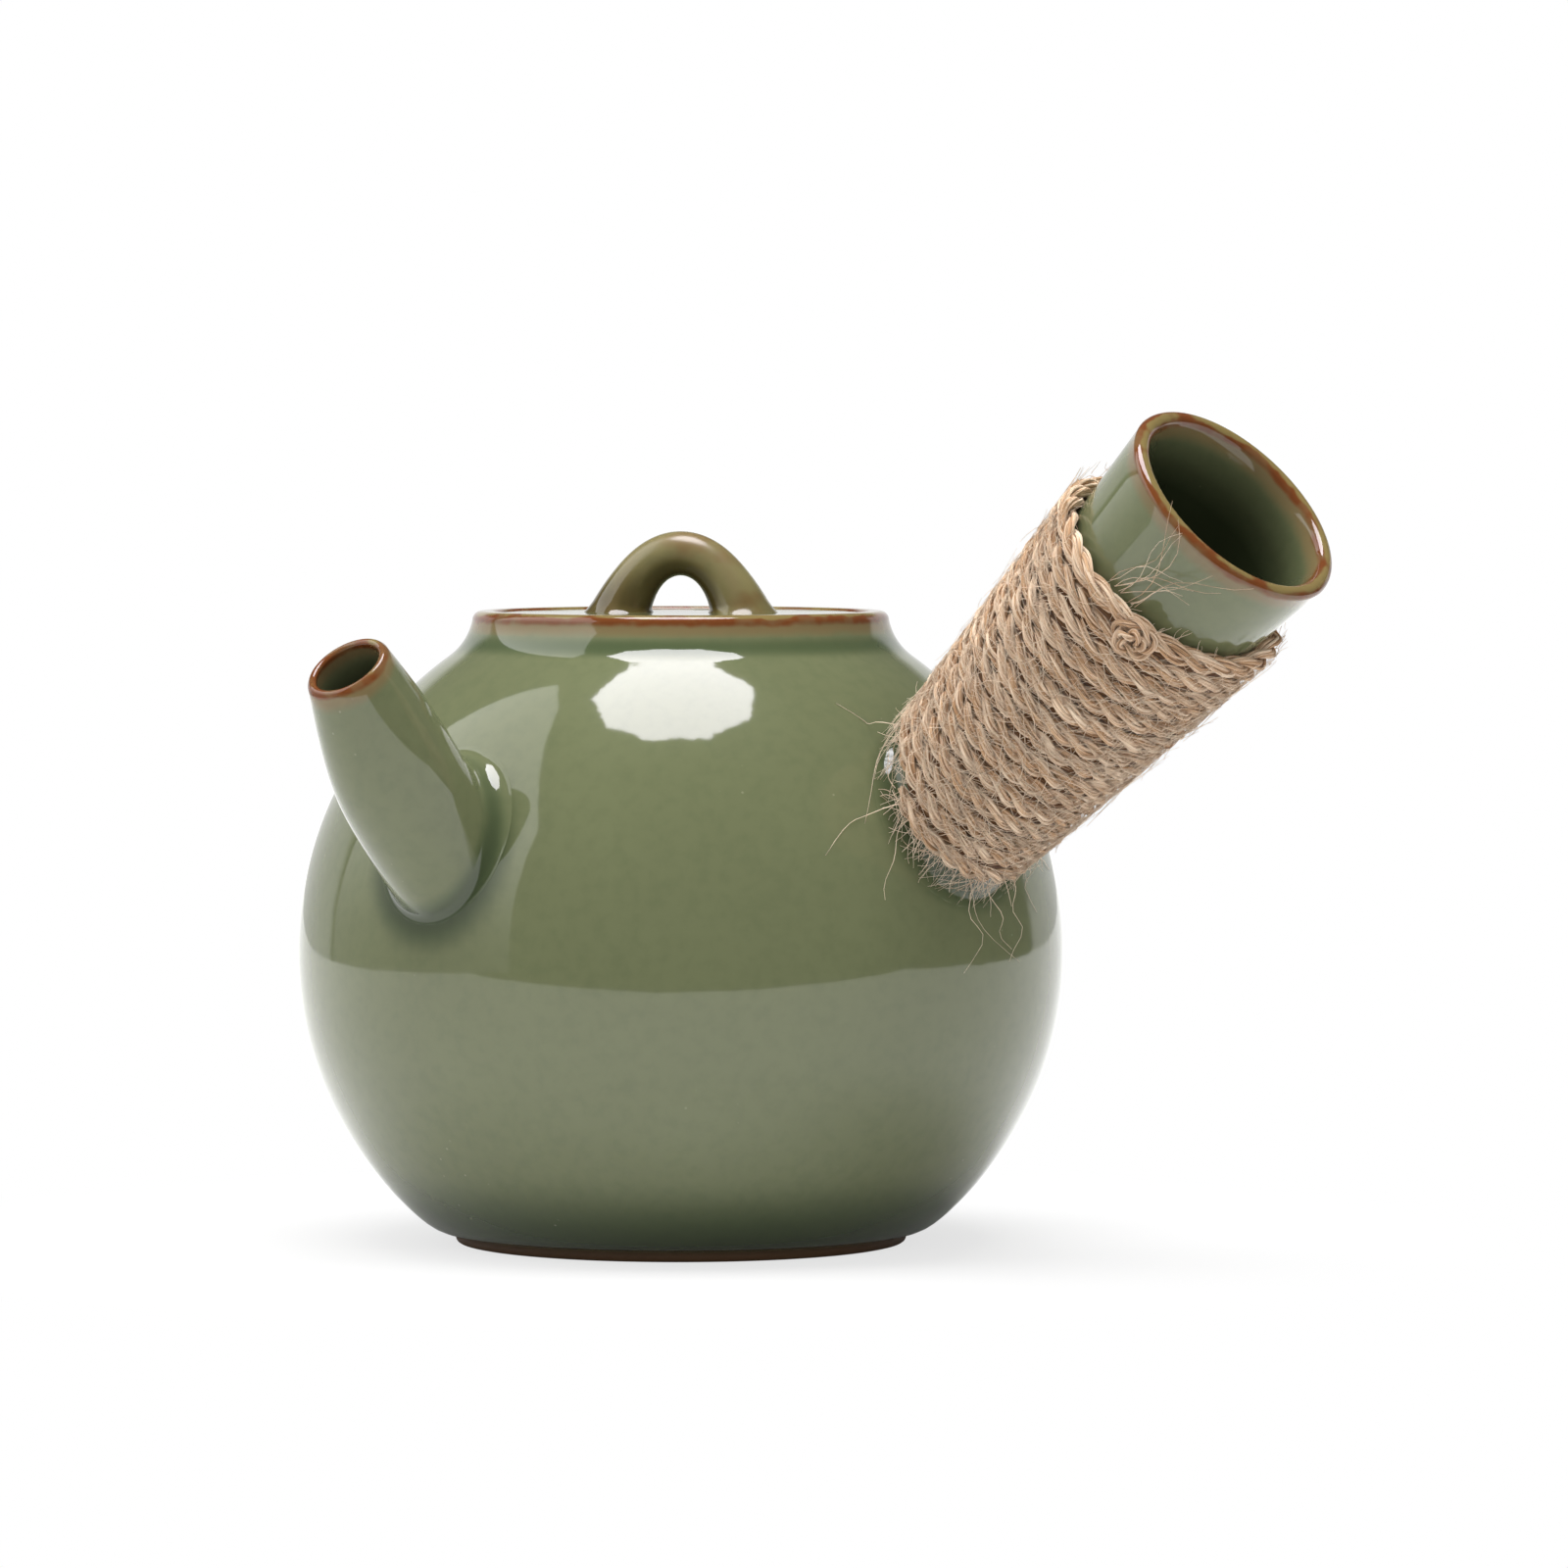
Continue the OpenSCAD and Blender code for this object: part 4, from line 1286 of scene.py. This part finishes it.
class TEAPOT_OT_fuzz(bpy.types.Operator):
    """Scatter loose fibres over the winding, with fringes at its ends"""
    bl_idname = "teapot.fuzz"
    bl_label = "Loose fibres"

    def execute(self, context):
        draw = np.random.RandomState(23)
        winding = Winding()
        made = self.nap(draw, winding)
        made += self.lower_fringe(draw, winding)
        made += self.upper_fringe(draw, winding)
        made += self.tuft(draw, winding)
        piece = strand_mesh("twine_fuzz", made)
        settle(piece, "pot", "jute_twine", jute("jute_fibres", 0.45))
        return {"FINISHED"}

    def nap(self, draw, winding):
        """Fibres that lie on the turns. Past the first turns, every fourth is long, pale and wild."""
        w = winding.twine
        end_run = 1.2 * MM
        made = []
        for i in range(w.fuzz):
            l, a = winding.level(draw.uniform(0, w.wound))
            l = l + some(draw, -1.2, 1.2)
            wild = i % 4 == 0 and l > w.from_mouth + 7 * MM
            if wild:
                heading = draw.uniform(0, TURN)
                rise = some(draw, 0.2, 0.9)
                reach = some(draw, 4.0, 11.0)
            else:
                heading = draw.normal(0.5, 0.55) + math.pi * draw.randint(2)
                rise = some(draw, 0.0, 0.25)
                reach = some(draw, 2.5, 8.0)
            reach = min(reach, max(end_run, l - w.from_mouth + end_run))
            thick = some(draw, 0.06, 0.12)
            low = w.thick * draw.uniform(0.86, 0.99)
            paler = 0.6 if wild else 0.0
            made.append(lying_fibre(draw, winding, l, a, heading, reach, thick, low, rise, paler))
        return made

    def lower_fringe(self, draw, winding):
        """Fibres that hang from the winding's lower end. Every eleventh is long."""
        w = winding.twine
        form = winding.tube.form
        axis = turned(winding.tube.axis, HANDLE_HEADING)
        made = []
        for i in range(w.fringe):
            l, a = winding.level(w.wound - draw.uniform(0, 0.98))
            root = winding.skin([l], [a], w.thick * draw.uniform(0.2, 0.8))[0]
            long = i % 11 == 0
            reach = some(draw, 6, 12) if long else some(draw, 1.2, 3.6)
            out = winding.outward(a) * draw.uniform(0.0, 0.5)
            lead = out - axis + draw.normal(0, 0.6 if long else 0.4, 3)
            thick = some(draw, 0.08, 0.14)
            droop = draw.uniform(0.0, 0.5)
            curl = 0.12 if long else 0.05
            made.append(hanging_fibre(draw, form, root, lead, reach, thick, droop, curl))
        return made

    def upper_fringe(self, draw, winding):
        """Fibres that lie on the glaze above the first turn."""
        w = winding.twine
        low = w.thick * 0.45
        made = []
        for _ in range(w.fringe // 4):
            l, a = winding.level(draw.uniform(0, 0.98))
            heading = -QUARTER + draw.normal(0, 0.8)
            reach = some(draw, 1.2, 3.4)
            thick = some(draw, 0.08, 0.12)
            rise = some(draw, -0.9, -0.3)
            made.append(lying_fibre(draw, winding, l, a, heading, reach, thick, low, rise))
        return made

    def tuft(self, draw, winding):
        """Long fibres that leave the knot towards the handle's mouth."""
        w = winding.twine
        l = w.knot_from_mouth - 2.5 * MM
        low = 1.2 * MM
        made = []
        for _ in range(12):
            a = w.knot_turn + draw.uniform(0.15, 0.5)
            heading = -QUARTER - draw.normal(0.35, 0.12)
            reach = some(draw, 7, 15)
            thick = some(draw, 0.09, 0.14)
            rise = some(draw, -0.9, 1.6)
            made.append(lying_fibre(draw, winding, l, a, heading, reach, thick, low, rise))
        return made


class TEAPOT_OT_stage(bpy.types.Operator):
    """Set up the floor, the light and the camera"""
    bl_idname = "teapot.stage"
    bl_label = "Stage"

    def execute(self, context):
        s = settings().stage
        right = Vector((math.cos(s.azimuth), math.sin(s.azimuth), 0))
        ahead = Vector((-math.sin(s.azimuth), math.cos(s.azimuth), 0))
        context.scene.view_settings.view_transform = "Standard"
        self.camera(context.scene, ahead, right)
        self.floor(ahead, right)
        self.softbox(right * -0.02 - ahead * 0.03, s.softbox_z, s.softbox_d / 2)
        over = Vector((0, 0, s.softbox_z)) - ahead * 0.1
        self.lamp("overhead_light", over, right, (0.7, 0.5), s.overhead_power)
        front = ahead * -1.3 + right * 0.3 + Vector((0, 0, 0.45))
        self.lamp("front_light", front, right, (1.2, 0.9), s.front_power)
        beside = right * -s.card_away
        self.card(beside, ahead)
        self.lamp("card_light", beside + Vector((0, 0, 0.4)), ahead, (0.75, 0.7), s.card_power)
        self.world(ahead, right)
        return {"FINISHED"}

    def camera(self, scene, ahead, right):
        """The camera of the main view."""
        s = settings().stage
        up = ahead * math.sin(s.pitch) + Vector((0, 0, math.cos(s.pitch)))
        look = ahead * math.cos(s.pitch) - Vector((0, 0, math.sin(s.pitch)))
        lens = bpy.data.cameras.new("camera")
        lens.lens = s.focal
        lens.sensor_width = 36
        lens.clip_start = 0.01
        camera = bpy.data.objects.new("camera", lens)
        camera.matrix_world = Matrix((right, up, -look)).transposed().to_4x4()
        camera.location = -(s.distance * look + s.aside * right - s.below * up)
        scene.collection.objects.link(camera)
        scene.camera = camera

    def lamp(self, name, place, level, size, power):
        """A lamp that faces the origin and lights the pieces, but is not mirrored in the glaze."""
        light = bpy.data.lights.new(name, "AREA")
        light.shape = "RECTANGLE"
        light.size, light.size_y = size
        light.energy = power
        lamp = bpy.data.objects.new(name, light)
        z = place.normalized()
        x = (level - level.dot(z) * z).normalized()
        lamp.matrix_world = Matrix((x, z.cross(x), z)).transposed().to_4x4()
        lamp.location = place
        lamp.visible_glossy = False
        bpy.context.scene.collection.objects.link(lamp)

    def mirrored(self, piece, name, colour, strength, dim_below=0):
        """Makes a shape that is seen only as a reflection in the glaze, and may be dim near the floor."""
        material = bpy.data.materials.new(name)
        g = Graph(material)
        if dim_below:
            height = g.add("ShaderNodeSeparateXYZ", {}, {0: g.add("ShaderNodeTexCoord")["Object"]})["Z"]
            colour = 0.15 + 0.65 * height.fade(0, dim_below)
        light = g.add("ShaderNodeEmission", {}, {"Color": colour, "Strength": strength})[0]
        g.add("ShaderNodeOutputMaterial", {}, {"Surface": light})
        piece.data.materials.append(material)
        piece.visible_camera = False
        piece.visible_diffuse = False
        piece.visible_shadow = False

    def softbox(self, middle, height, radius):
        """An eight-sided softbox with a creased edge, over the pot."""
        draw = np.random.RandomState(5)
        eighth = math.pi / 8
        deselect()
        bpy.ops.mesh.primitive_circle_add(vertices=96, radius=radius, fill_type="NGON")
        piece = bpy.context.object
        piece.name = "softbox"
        for vertex in piece.data.vertices:
            a = math.atan2(vertex.co.y, vertex.co.x)
            side = (a + eighth) % (2 * eighth) - eighth
            flat = math.cos(eighth) / math.cos(side)
            out = radius * flat * (1 + draw.uniform(-0.025, 0.025))
            vertex.co = (middle.x + out * math.cos(a), middle.y + out * math.sin(a), height)
        self.mirrored(piece, "softbox_cloth", (0.97, 0.94, 1.0), settings().stage.softbox_light)

    def card(self, middle, along):
        """A tall white card on the spout's side, with its near upper corner cut off."""
        deselect()
        bpy.ops.mesh.primitive_circle_add(vertices=5, fill_type="NGON")
        piece = bpy.context.object
        piece.name = "card"
        corners = ((0.33, 0), (0.33, 1.16), (0.10, 1.10), (-0.42, 0.52), (-0.42, 0))
        for vertex, (far, high) in zip(piece.data.vertices, corners):
            vertex.co = middle + along * far + Vector((0, 0, high))
        s = settings().stage
        self.mirrored(piece, "card_face", (1, 1, 1), s.card_light, s.card_dim)

    def floor(self, ahead, right):
        """A pale floor that keeps the pot's shadow near its foot, and is white elsewhere."""
        deselect()
        bpy.ops.mesh.primitive_plane_add(size=1)
        floor = bpy.context.object
        floor.name = "floor"
        s = settings().stage
        for vertex in floor.data.vertices:
            beside = right * (vertex.co.x * s.floor_w + s.floor_aside)
            vertex.co = beside + ahead * ((vertex.co.y + 0.5) * s.floor_depth - s.floor_reach)
        material = bpy.data.materials.new("pale_floor")
        g = Graph(material)
        path = g.add("ShaderNodeLightPath")
        place = g.add("ShaderNodeTexCoord")["Object"]
        away = g.add("ShaderNodeVectorMath", {"operation": "LENGTH"}, {0: place})["Value"]
        glossy = path["Is Glossy Ray"]
        seen = path["Is Camera Ray"] * (0.72 + 0.28 * away.fade(0.03, 0.10))
        seen = seen + glossy * away.fade(0.045, 0.09) * 0.9
        pale = g.add("ShaderNodeBsdfDiffuse", {}, {"Color": (0.74, 0.74, 0.74)})[0]
        glow = {"Color": (1, 1, 1), "Strength": 1.0 + 0.6 * glossy}
        white = g.add("ShaderNodeEmission", {}, glow)[0]
        both = g.add("ShaderNodeMixShader", {}, {0: seen, 1: pale, 2: white})[0]
        g.add("ShaderNodeOutputMaterial", {}, {"Surface": both})
        floor.data.materials.append(material)

    def world(self, ahead, right):
        """White behind the pot, and a dim room on the camera's side, which only the glaze mirrors."""
        world = bpy.data.worlds.new("studio")
        bpy.context.scene.world = world
        g = Graph(world)
        path = g.add("ShaderNodeLightPath")
        way = g.add("ShaderNodeTexCoord")["Generated"]
        facing = (ahead - right * 0.02).normalized()
        behind = g.add("ShaderNodeVectorMath", {"operation": "DOT_PRODUCT"}, {0: way, 1: facing})["Value"]
        glossy = path["Is Glossy Ray"]
        height = g.add("ShaderNodeSeparateXYZ", {}, {0: way})["Z"]
        sheet = behind.fade(0.60, 0.68) * (1 - height.fade(0.26, 0.42))
        white = path["Is Camera Ray"] + path["Is Transmission Ray"] + glossy * sheet * 0.76
        dim = settings().stage.ambient * (1 - glossy) + glossy * 0.10
        level = white.fade(0.0, 1.0) * (1 - dim) + dim
        shade = g.add("ShaderNodeBackground", {}, {"Color": (1, 1, 1), "Strength": level})[0]
        g.add("ShaderNodeOutputWorld", {}, {"Surface": shade})


class TEAPOT_PT_panel(bpy.types.Panel):
    """Lists the pieces of the teapot"""
    bl_idname = "TEAPOT_PT_panel"
    bl_label = "Side-handle teapot"
    bl_space_type = "VIEW_3D"
    bl_region_type = "UI"
    bl_category = "Teapot"

    def draw(self, context):
        for piece in OPERATORS:
            self.layout.operator(piece.bl_idname)


GROUPS = (
    PotSizes, LidSizes, KnobSizes, SpoutSizes, HandleSizes, TwineSizes, GlazeTints, TwineTints,
    StageSettings, TeapotSettings,
)
OPERATORS = (
    TEAPOT_OT_stage, TEAPOT_OT_pot, TEAPOT_OT_spout, TEAPOT_OT_handle, TEAPOT_OT_strainer, TEAPOT_OT_lid,
    TEAPOT_OT_knob, TEAPOT_OT_twine, TEAPOT_OT_knot, TEAPOT_OT_fuzz,
)


def register():
    for made in (*GROUPS, *OPERATORS, TEAPOT_PT_panel):
        bpy.utils.register_class(made)
    bpy.types.Scene.teapot = PointerProperty(type=TeapotSettings)


def unregister():
    del bpy.types.Scene.teapot
    for made in reversed((*GROUPS, *OPERATORS, TEAPOT_PT_panel)):
        bpy.utils.unregister_class(made)


def main():
    register()
    bpy.ops.teapot.stage()
    bpy.ops.teapot.pot()
    bpy.ops.teapot.spout()
    bpy.ops.teapot.handle()
    bpy.ops.teapot.strainer()
    bpy.ops.teapot.lid()
    bpy.ops.teapot.knob()
    bpy.ops.teapot.twine()
    bpy.ops.teapot.knot()
    bpy.ops.teapot.fuzz()


if __name__ == "__main__":
    main()
